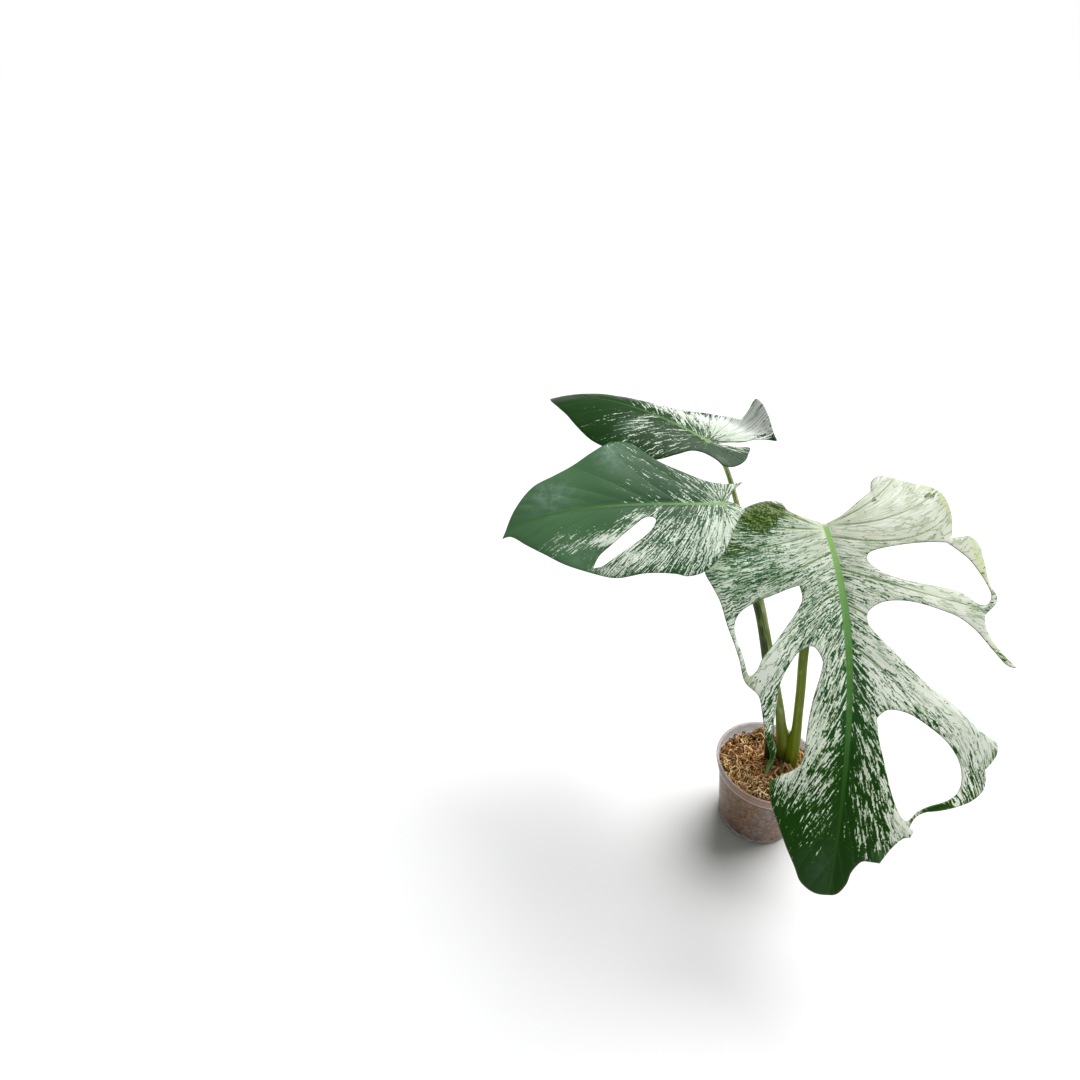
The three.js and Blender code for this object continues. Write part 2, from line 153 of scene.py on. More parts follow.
# Stalks
STALK_SIDES = 28
STALK_STEPS = 150
STALK_NARROWING = 0.8
STALK_MEETS = 2
SHEATH_DEPTH = 0.16
SHEATH_START = 60
SHEATH_GROWTH = 60
SHEATH_TURN = 0.35
LIPS_SIZE = 0.55
LIPS_PLACE = 0.75
LIPS_TURN = 0.28
RIDGES = 9
RIDGE_HEIGHT = 0.012
KNEE_SIZE = 0.12
KNEE_PLACE = 16
KNEE_REACH = 9
FLARE = 0.85
FLARE_FOOT = 122
FLARE_TOP = 152
AROUND_SCALE = 4

# Leaves, as in the part: strokes of the outline and of the holes in the leaf's own plane, as [along
# the midrib, to its left]. Left and right are (fold in degrees, droop), a bend is (start, way, rise)
# and the wave is (height, length). Veins are [where one leaves the midrib, its slope, how it bends],
# and a curl is (first and last place on the midrib, how far out, how strong). Green is the share of
# green along the midrib, and patches add to it: [along, left, reach along, reach across, more]. The
# core is what the middle adds towards the tip. Olive, lime and painted sheen are patches of those
# looks. The painted sheen is a painted reflection, and the olive patches near leaf 1's base on its
# right are partly painted shade, where the margin curls back.

LEAF_1 = {
    "midrib": [[11, 36, 402], [28, -60, 344], [0, -146, 270], [-15, -204, 174]],
    "up": [[-0.05, -0.53, 0.85], [0, -0.84, 0.54]],
    "length": 336,
    "neck": 14,
    "left": (10, 0.0012),
    "right": (10, 0.0004),
    "wave": (2, 90),
    "outline": [
        [[-3, 1], [-9, 19], [-20, 38], [-30, 56]],
        [[-42, 62], [-47, 76], [-40, 95], [-35, 110], [-30, 126], [-23, 134]],
        [[-14, 136], [0, 135], [10, 131], [20, 125]],
        [[19, 138], [18, 148], [24, 157], [40, 155], [53, 152], [61, 153], [67, 157], [74, 153],
         [84, 138]],
        [[94, 138], [103, 144], [112, 154], [123, 171]],
        [[122, 159], [112, 145], [98, 127], [88, 108], [83, 90], [78, 70], [76, 52], [78, 34], [86, 21],
         [96, 19], [105, 24], [117, 36], [137, 59], [150, 78], [163, 99], [178, 122], [187, 145]],
        [[196, 146], [204, 141], [211, 134]],
        [[221, 135], [230, 132], [239, 121], [246, 105], [251, 88], [254, 74], [260, 65], [269, 61]],
        [[271, 65], [277, 63]],
        [[279, 56], [289, 47], [303, 39]],
        [[303, 31], [304, 23], [314, 16], [326, 13], [336, 6], [338, -4], [336, -16], [328, -28],
         [316, -35], [300, -45], [281, -55], [266, -62], [249, -66]],
        [[242, -57], [234, -45], [223, -39], [195, -37], [170, -33], [148, -27], [134, -25], [122, -33],
         [127, -45], [140, -54], [159, -62], [183, -65], [209, -67], [220, -63], [232, -65], [247, -71]],
        [[236, -70], [226, -68], [212, -73], [190, -77], [174, -81], [162, -94], [140, -100], [120, -105],
         [104, -109], [78, -114], [58, -120], [36, -125], [12, -121], [-8, -107], [-24, -89], [-33, -70],
         [-36, -50], [-32, -36], [-22, -31], [-12, -17], [-3, 1]],
    ],
    "holes": [
        [[[60, -40], [64, -52], [70, -66], [76, -80], [86, -95], [100, -102], [116, -102], [138, -96],
          [155, -91], [150, -84], [137, -79], [121, -68], [106, -58], [88, -46], [74, -39], [60, -40]]],
        [[[24, 118], [24, 95], [26, 65], [30, 36], [37, 29], [45, 34], [53, 47], [58, 65], [63, 95],
          [67, 116], [75, 131], [75, 143], [68, 150], [60, 149], [48, 144], [36, 136], [24, 118]]],
        [[[180, 24], [172, 34], [173, 52], [182, 72], [194, 92], [208, 105], [222, 109], [234, 105],
          [242, 94], [248, 78], [254, 67], [263, 58], [257, 50], [240, 41], [215, 32], [196, 26],
          [180, 24]]],
    ],
    "veins": {
        "left": [
            [-2, 0.25, -0.0033], [10, 0.42, -0.0038], [44, 0.42, -0.0012], [78, 0.62, -0.001],
            [114, 0.85, -0.0008], [150, 1.8, -0.005], [182, 2.8, -0.008], [214, 3.4, 0], [250, 3.6, 0],
            [290, 3.2, 0],
        ],
        "right": [
            [3, 0.3, -0.0022], [26, 0.42, 0], [66, 0.41, 0.0072], [96, 1.3, 0.02], [124, 2.3, 0.008],
            [156, 2, 0.002], [196, 1.1, 0.012], [226, 1.2, 0.01], [262, 1.4, 0.01], [300, 1.6, 0],
        ],
    },
    "curl": {"left": (84, 104, 98, 0.03)},
    "green": [
        [-50, 0.34], [0, 0.36], [60, 0.42], [105, 0.46], [160, 0.48], [230, 0.565], [270, 0.65],
        [300, 0.79], [325, 0.97],
    ],
    "patches": [
        [-15, 60, 55, 60, -0.18], [20, 120, 40, 50, -0.1], [90, 110, 45, 50, -0.2],
        [14, -88, 14, 30, 0.2], [-14, -60, 14, 24, 0.4], [50, -80, 20, 40, 0.06], [80, -16, 26, 16, 0.1],
        [125, -74, 40, 24, -0.1], [244, -70, 20, 9, 0.8], [200, -34, 34, 8, -0.2], [160, 8, 50, 14, 0.08],
        [140, 70, 30, 18, -0.25], [170, 105, 24, 22, -0.32], [182, 74, 12, 12, 0.1],
        [200, 98, 12, 9, 0.16], [215, 106, 20, 7, -0.4], [222, 124, 20, 9, 0.04], [252, 88, 8, 16, 0.25],
        [240, -54, 18, 14, -0.26], [285, -46, 18, 14, 0.14], [262, 52, 24, 10, -0.34],
        [284, 30, 20, 16, -0.12], [268, 60, 9, 7, -0.4], [135, 24, 30, 14, -0.16],
        [192, 134, 16, 14, -0.28], [30, -90, 20, 28, 0.1], [20, -28, 24, 20, -0.1],
        [142, -80, 24, 16, -0.16], [250, -14, 45, 12, -0.04], [36, -50, 22, 22, 0.07],
    ],
    "core": 0.21,
    # The olive patches near the base on the right are partly painted shade where the margin curls back;
    # the rest are the leaf's own olive
    "olive_and_painted_shade": [
        [-24, -60, 15, 26, 1.1], [-12, -60, 10, 9, 0.5], [-22, -34, 9, 12, 0.4], [12, -92, 14, 26, 0.45],
        [-12, -98, 20, 14, 0.5], [-20, 116, 5, 8, 0.75], [-20, 56, 5, 5, 0.6], [252, 88, 7, 18, 0.4],
        [118, 162, 12, 14, 0.5], [196, 143, 8, 5, 0.7], [262, 63, 5, 7, 0.6], [244, 100, 7, 12, 0.4],
    ],
    "lime": [
        [-30, 118, 14, 18, 0.7], [-6, 133, 26, 5, 0.8], [-42, 84, 7, 26, 0.5], [16, 128, 8, 16, 0.4],
        [26, 152, 22, 8, 0.7], [50, 150, 20, 6, 0.6], [112, 156, 18, 14, 0.7], [-14, -24, 8, 14, 0.7],
        [78, 120, 8, 20, 0.4], [236, 126, 16, 10, 0.5], [246, -70, 18, 9, 1], [-8, 30, 7, 26, 0.4],
        [160, -90, 12, 8, 0.8], [200, 138, 14, 8, 0.6], [296, 38, 10, 12, 0.5],
    ],
    "painted_sheen": [[312, -14, 14, 12, 0.12]],
}

LEAF_2 = {
    "midrib": [[-92, 43, 424], [-161, 30, 431], [-235, 37, 432], [-297, 40, 398]],
    "up": [[0, -0.42, 0.9], [0, -0.42, 0.9]],
    "length": 210,
    "neck": 14,
    "left": (6, 0.001),
    "right": (6, 0.0012),
    "wave": (2, 80),
    "outline": [
        [[-7, -3], [-12, -11], [-19, -18], [-31, -27]],
        [[-20, -24], [-6, -24], [10, -27], [31, -37], [54, -51], [69, -67], [82, -81], [93, -84],
         [106, -80], [125, -67], [143, -55], [162, -46], [182, -38], [200, -22], [212, -7], [222, 8]],
        [[212, 10], [197, 26], [179, 42], [158, 58], [133, 69], [108, 76], [82, 74], [57, 74], [45, 76],
         [29, 71], [12, 55], [0, 36], [-11, 20], [-22, 9]],
        [[-15, 0], [-7, -3]],
    ],
    "holes": [
        [[[131, 64], [124, 53], [110, 42], [91, 26], [77, 15], [68, 18], [75, 31], [92, 45], [111, 57]],
         [[122, 63], [131, 64]]],
    ],
    "veins": {
        "left": [
            [0, 0.2, 0.0015], [10, 0.35, 0.002], [34, 0.65, 0.003], [60, 1.3, 0], [84, 1.7, 0.002],
            [110, 2.2, 0.002], [140, 2.4, 0.004], [170, 2.4, 0.01],
        ],
        "right": [
            [0, 0.9, 0], [14, 1.1, 0], [42, 1.3, -0.0065], [66, 1.6, -0.003], [90, 1.9, 0.004],
            [116, 2, 0.004], [145, 2.2, 0.01], [175, 2.2, 0.01],
        ],
    },
    "green": [
        [-30, 0.44], [0, 0.52], [30, 0.64], [60, 0.7], [95, 0.77], [130, 0.92], [160, 1], [220, 1.2],
    ],
    "patches": [
        [6, 30, 20, 30, -0.12], [40, 40, 30, 34, -0.19], [80, 20, 20, 14, -0.28], [90, 56, 26, 14, -0.36],
        [116, 36, 24, 9, -0.4], [120, 70, 20, 8, -0.3], [150, 44, 30, 16, -0.22],
        [184, 34, 22, 12, -0.14], [66, -40, 40, 30, 0.03], [126, -30, 24, 30, 0.08],
        [164, 26, 26, 18, -0.22], [36, 12, 30, 12, 0.14], [60, 52, 20, 14, 0.06],
    ],
    "core": 0.2,
    "lime": [[2, 34, 5, 20, 0.3]],
    "painted_sheen": [[168, -20, 22, 18, 0.9], [106, -62, 14, 20, 0.6], [140, 50, 20, 12, 0.4]],
}

LEAF_3 = {
    "midrib": [[-94, 122, 453], [-149, 167, 471], [-210, 218, 470], [-257, 259, 442]],
    "up": [[0, 0, 1], [0, 0, 1]],
    "length": 216,
    "neck": 7,
    "left": (0, 0.004),
    "right": (0, 0.006),
    "bends": [((70, -20), (-0.3, -0.95), 0.006), ((0, -50), (-0.1, -0.99), 0.05)],
    "wave": (1.5, 70),
    "outline": [
        [[-9, -4], [-16, -16], [-26, -27], [-33, -39], [-42, -46], [-53, -49]],
        [[-46, -54], [-33, -63], [-24, -68], [-15, -72], [-6, -74], [-6, -68], [-5, -61]],
        [[6, -61], [22, -59], [41, -57], [55, -51], [70, -46], [95, -41], [120, -37], [150, -29],
         [185, -14], [216, 0]],
        [[200, 14], [175, 30], [152, 43], [134, 53], [115, 61], [95, 67], [70, 70], [45, 66], [24, 57],
         [12, 42], [4, 28], [-4, 22], [-12, 20], [-22, 20], [-31, 22], [-38, 18], [-42, 9], [-43, -2],
         [-40, -13], [-36, -23], [-26, -16], [-16, -9], [-9, -4]],
    ],
    "veins": {
        "left": [
            [0, 0.5, 0], [10, 1, -0.006], [38, 0.85, 0.001], [62, 1, 0.002], [88, 1.2, 0.003],
            [130, 1.6, 0.003], [170, 1.8, 0],
        ],
        "right": [
            [0, 0.5, 0], [14, 1.1, -0.005], [48, 0.9, 0], [72, 1.1, 0], [96, 1.3, 0.002],
            [135, 1.6, 0.003], [175, 1.8, 0],
        ],
    },
    "green": [[-50, 0.86], [-10, 0.72], [30, 0.7], [80, 0.76], [110, 0.88], [150, 0.98], [216, 1.05]],
    "patches": [
        [-15, -50, 34, 34, -0.62], [34, -30, 40, 20, -0.3], [-22, 14, 16, 12, 0.42],
        [110, 30, 50, 10, -0.15], [85, -34, 34, 20, -0.3], [-52, -48, 4, 5, 0.5], [40, 38, 16, 16, -0.14],
        [66, 26, 9, 22, -0.24], [-30, -8, 10, 8, -0.1], [50, 34, 26, 18, 0.08],
    ],
    "core": 0.3,
    "painted_sheen": [[-26, 17, 9, 6, 0.5], [76, 34, 10, 12, 0.5]],
}

# Stalks, as in the part: [x, y, z, radius]
STALK_1 = [[24, 1, 56, 5], [27, -2, 92, 5.2], [26, 3, 130, 5.6], [24, 10, 166, 5], [21, 14, 201, 4.9],
           [16, 19, 248, 4.9], [11, 30, 340, 4.4]]
STALK_2 = [[8, 7, 56, 4.6], [3, 9, 92, 4.8], [-6, 11, 155, 4.4], [-17, 15, 210, 4.2],
           [-29, 20, 262, 4], [-45, 26, 315, 3.8], [-72, 42, 371, 3.4]]
STALK_3 = [[19, 14, 56, 5.4], [19, 15, 92, 5.8], [9, 16, 150, 5.6], [0, 20, 186, 4.6],
           [-18, 38, 253, 3.6], [-29, 52, 294, 3.3], [-62, 91, 395, 2.8], [-71, 111, 421, 2.6],
           [-77, 118, 432, 2.6], [-85, 121, 440, 2.6]]


# Shader nodes

def linear(colour):
    """A screen colour, 0 to 255, as a linear colour."""
    parts = [value / 255 for value in colour]
    return [p / 12.92 if p <= 0.04045 else ((p + 0.055) / 1.055) ** 2.4 for p in parts] + [1]


class Shader:
    """A material with one principled shader, and short ways to add nodes in front of it. Three
    numbers given to a colour socket are a screen colour."""

    def __init__(self, name):
        self.material = bpy.data.materials.new(name)
        self.material.use_nodes = True
        self.tree = self.material.node_tree
        self.bsdf = next(n for n in self.tree.nodes if n.type == "BSDF_PRINCIPLED")

    def feed(self, socket, value):
        if isinstance(value, bpy.types.NodeSocket):
            self.tree.links.new(value, socket)
        elif socket.type == "RGBA" and len(value) == 3:
            socket.default_value = linear(value)
        else:
            socket.default_value = value

    def set(self, **values):
        for name, value in values.items():
            self.feed(self.bsdf.inputs[name.replace("_", " ")], value)

    def node(self, kind, inputs, **settings):
        node = self.tree.nodes.new("ShaderNode" + kind)
        for name, value in settings.items():
            setattr(node, name, value)
        for key, value in inputs.items():
            self.feed(node.inputs[key], value)
        return node

    def math(self, operation, a, b=0.0):
        return self.node("Math", {0: a, 1: b}, operation=operation).outputs[0]

    def add(self, a, b):
        return self.math("ADD", a, b)

    def times(self, a, b):
        return self.math("MULTIPLY", a, b)

    def sway(self, noise, reach):
        """A value that lies about a half, moved to lie about zero, times its reach."""
        return self.times(self.add(noise, -0.5), reach)

    def step(self, value, low, high, to_low=0.0, to_high=1.0, kind="SMOOTHSTEP"):
        inputs = {0: value, 1: low, 2: high, 3: to_low, 4: to_high}
        return self.node("MapRange", inputs, interpolation_type=kind).outputs[0]

    def ramp(self, *values):
        return self.step(*values, kind="LINEAR")

    def mix(self, factor, a, b, blend="MIX"):
        inputs = {0: factor, 6: a, 7: b}
        return self.node("Mix", inputs, data_type="RGBA", blend_type=blend).outputs[2]

    def blend(self, factor, a, b):
        return self.node("Mix", {0: factor, 2: a, 3: b}).outputs[0]

    def apart(self, vector):
        return self.node("SeparateXYZ", {0: vector}).outputs

    def uv(self, name):
        return self.apart(self.node("UVMap", {}, uv_map=name).outputs[0])[:2]

    def value(self, name):
        return self.node("Attribute", {}, attribute_name=name).outputs["Fac"]

    def place(self):
        return self.node("TexCoord", {}).outputs["Object"]

    def vector(self, x, y, z=0.0):
        return self.node("CombineXYZ", {0: x, 1: y, 2: z}).outputs[0]

    def noise(self, place, scale=1.0, detail=2.0, roughness=0.5, distortion=0.0):
        inputs = {"Vector": place, "Scale": scale, "Detail": detail, "Roughness": roughness,
                  "Distortion": distortion}
        return self.node("TexNoise", inputs).outputs[0]

    def streaks(self, a, b, length, width, seed=0.0, **settings):
        """Noise drawn out to a length along one coordinate and a width along the other."""
        place = self.vector(self.times(a, 1 / length), self.times(b, 1 / width), seed)
        return self.noise(place, **settings)

    def bump(self, height, strength, distance):
        inputs = {"Height": height, "Strength": strength, "Distance": distance}
        self.set(Normal=self.node("Bump", inputs).outputs[0])


# Objects

def add_object(name, data):
    made = bpy.data.objects.new(name, data)
    bpy.context.scene.collection.objects.link(made)
    return made


def make_piece(name, points, faces, replaced, materials, which=None):
    """A smooth piece from points in millimetres, riding on the plant, in place of its CAD nodes. It
    gives the mesh."""
    mesh = bpy.data.meshes.new(name)
    mesh.from_pydata((np.asarray(points) * MM).tolist(), [], [list(map(int, f)) for f in faces])
    for material in materials:
        mesh.materials.append(material)
    mesh.polygons.foreach_set("use_smooth", [True] * len(mesh.polygons))
    if which is not None:
        mesh.polygons.foreach_set("material_index", np.asarray(which, dtype=np.int32))
    mesh.update()
    piece = add_object(name, mesh)
    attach(piece, "root")
    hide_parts(*replaced)
    return mesh


def add_value(mesh, name, values):
    layer = mesh.attributes.new(name, "FLOAT", "POINT")
    layer.data.foreach_set("value", np.asarray(values, dtype=np.float32))


def add_uv(mesh, name, first, second):
    layer = mesh.uv_layers.new(name=name)
    layer.data.foreach_set("uv", columns(first, second).astype(np.float32).ravel())


# Points, lines and faces

def columns(*parts):
    return np.stack(parts, axis=1)


def clamp(values):
    return np.clip(values, 0, 1)


def bell(away, reach):
    return np.exp(-(away / reach) ** 2)


def unit(vectors):
    return vectors / np.linalg.norm(vectors, axis=-1, keepdims=True)


def even_turns(count):
    return np.arange(count) * TURN / count


def ring_points(radius, angle, *more):
    """Points at angles around the Z axis, with more columns after x and y."""
    return columns(radius * np.cos(angle), radius * np.sin(angle), *more)


def distances(line):
    """How far along a line each of its points lies."""
    return np.concatenate([[0], np.cumsum(np.linalg.norm(np.diff(line, axis=0), axis=1))])


def cubic(p1, p2, v1, v2, t):
    """Points from p1 to p2, for t from 0 to 1, with the speeds v1 and v2 at the ends."""
    return (2 * p1 - 2 * p2 + v1 + v2) * t ** 3 + (3 * p2 - 3 * p1 - 2 * v1 - v2) * t ** 2 + v1 * t + p1


def loop_edges(loops):
    """Pairs of neighbours around each loop, counted through the points of all loops."""
    edges = []
    first = 0
    for loop in loops:
        count = len(loop)
        edges += [(first + i, first + (i + 1) % count) for i in range(count)]
        first += count
    return edges


def tube_faces(rows, sides, first=0):
    """Four-sided faces between each ring of points and the next."""
    faces = []
    for i in range(rows):
        for j in range(sides):
            a, b = first + i * sides + j, first + i * sides + (j + 1) % sides
            faces.append([a, b, b + sides, a + sides])
    return faces


# Leaf outlines

def stroke_points(strokes, step):
    """Points at even steps along a ring of smooth strokes, each from where the last one ends."""
    points = []
    start = None
    for stroke in strokes:
        knots = np.array(([start] if start else []) + stroke, dtype=float)
        last = len(knots) - 1
        line = []
        for k in range(last):
            p0, p1, p2, p3 = (knots[min(max(k + j, 0), last)] for j in (-1, 0, 1, 2))
            t = np.linspace(0, 1, STROKE_STOPS, endpoint=k == last - 1)[:, None]
            line.append(cubic(p1, p2, (p2 - p0) / 2, (p3 - p1) / 2, t))
        line = np.concatenate(line)
        reach = distances(line)
        stops = np.linspace(0, reach[-1], max(2, round(reach[-1] / step) + 1))[:-1]
        points.append(columns(*(np.interp(stops, reach, line[:, i]) for i in (0, 1))))
        start = stroke[-1]
    return np.concatenate(points)


def inside(points, loops):
    """Which points lie within the loops, where a loop inside another is a hole."""
    within = np.zeros(len(points), dtype=bool)
    for loop in loops:
        ahead = np.roll(loop, -1, axis=0)
        for a, b in zip(loop, ahead):
            between = (a[1] > points[:, 1]) != (b[1] > points[:, 1])
            if not between.any():
                continue
            across = a[0] + (b[0] - a[0]) * (points[:, 1] - a[1]) / (b[1] - a[1])
            within ^= between & (points[:, 0] < across)
    return within


def edge_distance(points, loops):
    """How far each point is from the nearest loop."""
    starts = np.concatenate(loops)
    runs = np.concatenate([np.roll(loop, -1, axis=0) - loop for loop in loops])
    squares = (runs ** 2).sum(axis=1)
    least = []
    for part in np.array_split(points, max(1, len(points) // BATCH)):
        away = part[:, None] - starts[None]
        t = clamp((away * runs).sum(axis=2) / squares)
        least.append(np.sqrt(((away - t[:, :, None] * runs) ** 2).sum(axis=2)).min(axis=1))
    return np.concatenate(least)


def well_inside(parts, loops, room):
    """The points within the loops that lie further from them than the room."""
    points = np.concatenate(parts)
    points = points[inside(points, loops)]
    return points[edge_distance(points, loops) > room]


def inner_points(loops):
    """A lattice with one row on the midrib, and a row close inside every edge."""
    low = np.min(loops[0], axis=0)
    high = np.max(loops[0], axis=0)
    row = INNER_STEP * math.sqrt(0.75)
    lattice = []
    for k in range(math.floor(low[1] / row), math.ceil(high[1] / row) + 1):
        s = np.arange(low[0], high[0], INNER_STEP) + (k % 2) * INNER_STEP / 2
        lattice.append(columns(s, np.full_like(s, k * row)))
    rows = []
    for loop in loops:
        run = unit(np.roll(loop, -1, axis=0) - np.roll(loop, 1, axis=0))
        for side in (-1, 1):
            rows.append(loop + side * EDGE_ROW * columns(-run[:, 1], run[:, 0]))
    lattice = well_inside(lattice, loops, EDGE_ROW + INNER_STEP * 0.45)
    return np.concatenate([lattice, well_inside(rows, loops, EDGE_ROW * 0.9)])


def blade_triangles(loops):
    """Points and triangles over the outline without its holes, with edges along the midrib."""
    points = np.concatenate([*loops, inner_points(loops)])
    edges = loop_edges(loops)
    middle = np.nonzero(np.abs(points[:, 1]) < 1e-6)[0]
    middle = middle[np.argsort(points[middle, 0])]
    middle = middle[middle >= len(edges)]
    for a, b in zip(middle, middle[1:]):
        if points[b, 0] - points[a, 0] < 1.5 * INNER_STEP:
            edges.append((int(a), int(b)))
    made = delaunay_2d_cdt([Vector(p) for p in points.tolist()], edges, [], 0, 1e-5)
    points = np.array([tuple(p) for p in made[0]])
    faces = np.array(made[2])
    faces = faces[inside(points[faces].mean(axis=1), loops)]

    # A triangle with all its corners on the edge would have no thickness
    on_edge = edge_distance(points, loops) < ON_EDGE
    faces = faces[~on_edge[faces].all(axis=1)]

    # Slivers are left out, and all triangles turn the same way
    a, b, c = (points[faces[:, i]] for i in range(3))
    turn = (b - a)[:, 0] * (c - a)[:, 1] - (b - a)[:, 1] * (c - a)[:, 0]
    faces = faces[np.abs(turn) > 1e-7]
    turn = turn[np.abs(turn) > 1e-7]
    faces[turn < 0] = faces[turn < 0][:, ::-1]
    used = np.unique(faces)
    lookup = np.zeros(len(points), dtype=int)
    lookup[used] = np.arange(len(used))
    return points[used], lookup[faces]


# Leaf surface

def bezier(knots, t):
    p0, p1, p2, p3 = knots
    u = 1 - t
    point = u ** 3 * p0 + 3 * u * u * t * p1 + 3 * u * t * t * p2 + t ** 3 * p3
    run = 3 * (u * u * (p1 - p0) + 2 * u * t * (p2 - p1) + t * t * (p3 - p2))
    return point, unit(run)


def blade_frame(leaf, s):
    """Where the midrib is at each s, the way the upper face looks and the way to the left."""
    knots = np.array(leaf["midrib"], dtype=float)
    t = (s / leaf["length"])[:, None]
    along = clamp(t)
    origin, tangent = bezier(knots, along)
    first, last = (np.linalg.norm(knots[k + 1] - knots[k]) for k in (0, 2))
    speed = 3 * np.where(along > 0.5, last, first)
    origin = origin + tangent * (t - along) * speed
    base, tip = np.array(leaf["up"], dtype=float)
    up = base + (tip - base) * along
    up = unit(up - tangent * (up * tangent).sum(axis=1, keepdims=True))
    return origin, up, np.cross(up, tangent)


def blade_height(leaf, s, y):
    """How far the blade stands off its plane, with its folds, droop, waves and bends."""
    out = np.abs(y)
    folds, droops = (np.where(y > 0, *pair) for pair in zip(leaf["left"], leaf["right"]))
    height, length = leaf["wave"]
    total = np.tan(np.radians(folds)) * out * np.exp(-out / FOLD_REACH) - droops * out ** 2
    wave = height * np.sin(TURN * s / length + y * WAVE_SLANT)
    total += wave * np.minimum(1, out / WAVE_REACH) ** 2
    for start, toward, rise in leaf.get("bends", []):
        total += rise * np.maximum(0, (s - start[0]) * toward[0] + (y - start[1]) * toward[1]) ** 2
    return total


def blade_at(leaf, s, y, lift=0.0):
    origin, up, left = blade_frame(leaf, s)
    return origin + left * y[:, None] + up * (blade_height(leaf, s, y) + lift)[:, None]


def blade_normal(leaf, s, y):
    ahead = blade_at(leaf, s + 0.5, y) - blade_at(leaf, s - 0.5, y)
    left = blade_at(leaf, s, y + 0.5) - blade_at(leaf, s, y - 0.5)
    return unit(np.cross(ahead, left))


def vein_flow(veins, curl, s, out):
    """How far along its side vein each point lies, how far across them, the vein count there, the gap
    between veins, and how far apart there the lines lie that are a unit apart across. Past the last
    vein more follow at even gaps. A curl bends the outer ends of some."""
    table = np.array(veins, dtype=float)
    past = np.tile(table[-1], (PAST_VEINS, 1))
    past[:, 0] += PAST_GAP * np.arange(1, PAST_VEINS + 1)
    starts, slopes, curves = np.concatenate([table, past]).T

    def reach(start):
        slope = np.interp(start, starts, slopes)
        place = start + slope * out + np.interp(start, starts, curves) * out ** 2
        if curl:
            low, high, far, bend = curl
            place += bend * clamp((start - low) / (high - low)) * np.maximum(0, out - far) ** 2
        return place

    start = np.full_like(s, starts[0])
    end = np.full_like(s, starts[-1])
    for _ in range(HALVINGS):
        middle = (start + end) / 2
        below = reach(middle) < s
        start = np.where(below, middle, start)
        end = np.where(below, end, middle)
    along = np.hypot(out, s - start)
    count = np.interp(start, starts, np.arange(len(starts), dtype=float))
    cell = np.clip(np.searchsorted(starts, start, side="right") - 1, 0, len(starts) - 2)
    spread = (reach(start + 1) - reach(start)) / np.hypot(1, np.interp(start, starts, slopes))
    gap = np.diff(starts)[cell] * np.clip(spread, 0.3, 3)

    # Behind the first vein, lines fan out from its foot
    first = reach(np.full_like(s, starts[0]))
    fan = first > s
    turn = np.arctan2(s - starts[0], out) - np.arctan2(first - starts[0], out)
    radius = np.hypot(out, s - starts[0])
    along = np.where(fan, radius, along)
    across = np.where(fan, starts[0] + FAN_RADIUS * turn, start)
    count = np.where(fan, FAN_RADIUS * turn / FAN_GAP, count)
    gap = np.where(fan, FAN_GAP * radius / FAN_RADIUS, gap)
    spread = np.where(fan, radius / FAN_RADIUS, np.clip(spread, 0.1, 3))
    return along, across, count, gap, spread


def both_sides(leaf, s, y, left):
    """Flow values of points, on the left or the right side as the flags say."""
    curls = leaf.get("curl", {})
    sides = [vein_flow(leaf["veins"][side], curls.get(side), s, np.abs(y)) for side in ("left", "right")]
    return [np.where(left, a, b) for a, b in zip(*sides)]


def spots(points, patches):
    """The sum of soft oval patches at each point."""
    total = np.zeros(len(points))
    for s, y, reach_s, reach_y, more in patches:
        away = ((points[:, 0] - s) / reach_s) ** 2 + ((points[:, 1] - y) / reach_y) ** 2
        total += more * np.exp(-away)
    return total


def rib_depth(leaf, s, y):
    across = np.maximum(0, 1 - np.abs(y) / RIB_HALF_WIDTH)
    return np.where(s < 0, 0, RIB_HEIGHT * clamp(1 - s / leaf["length"]) * across)


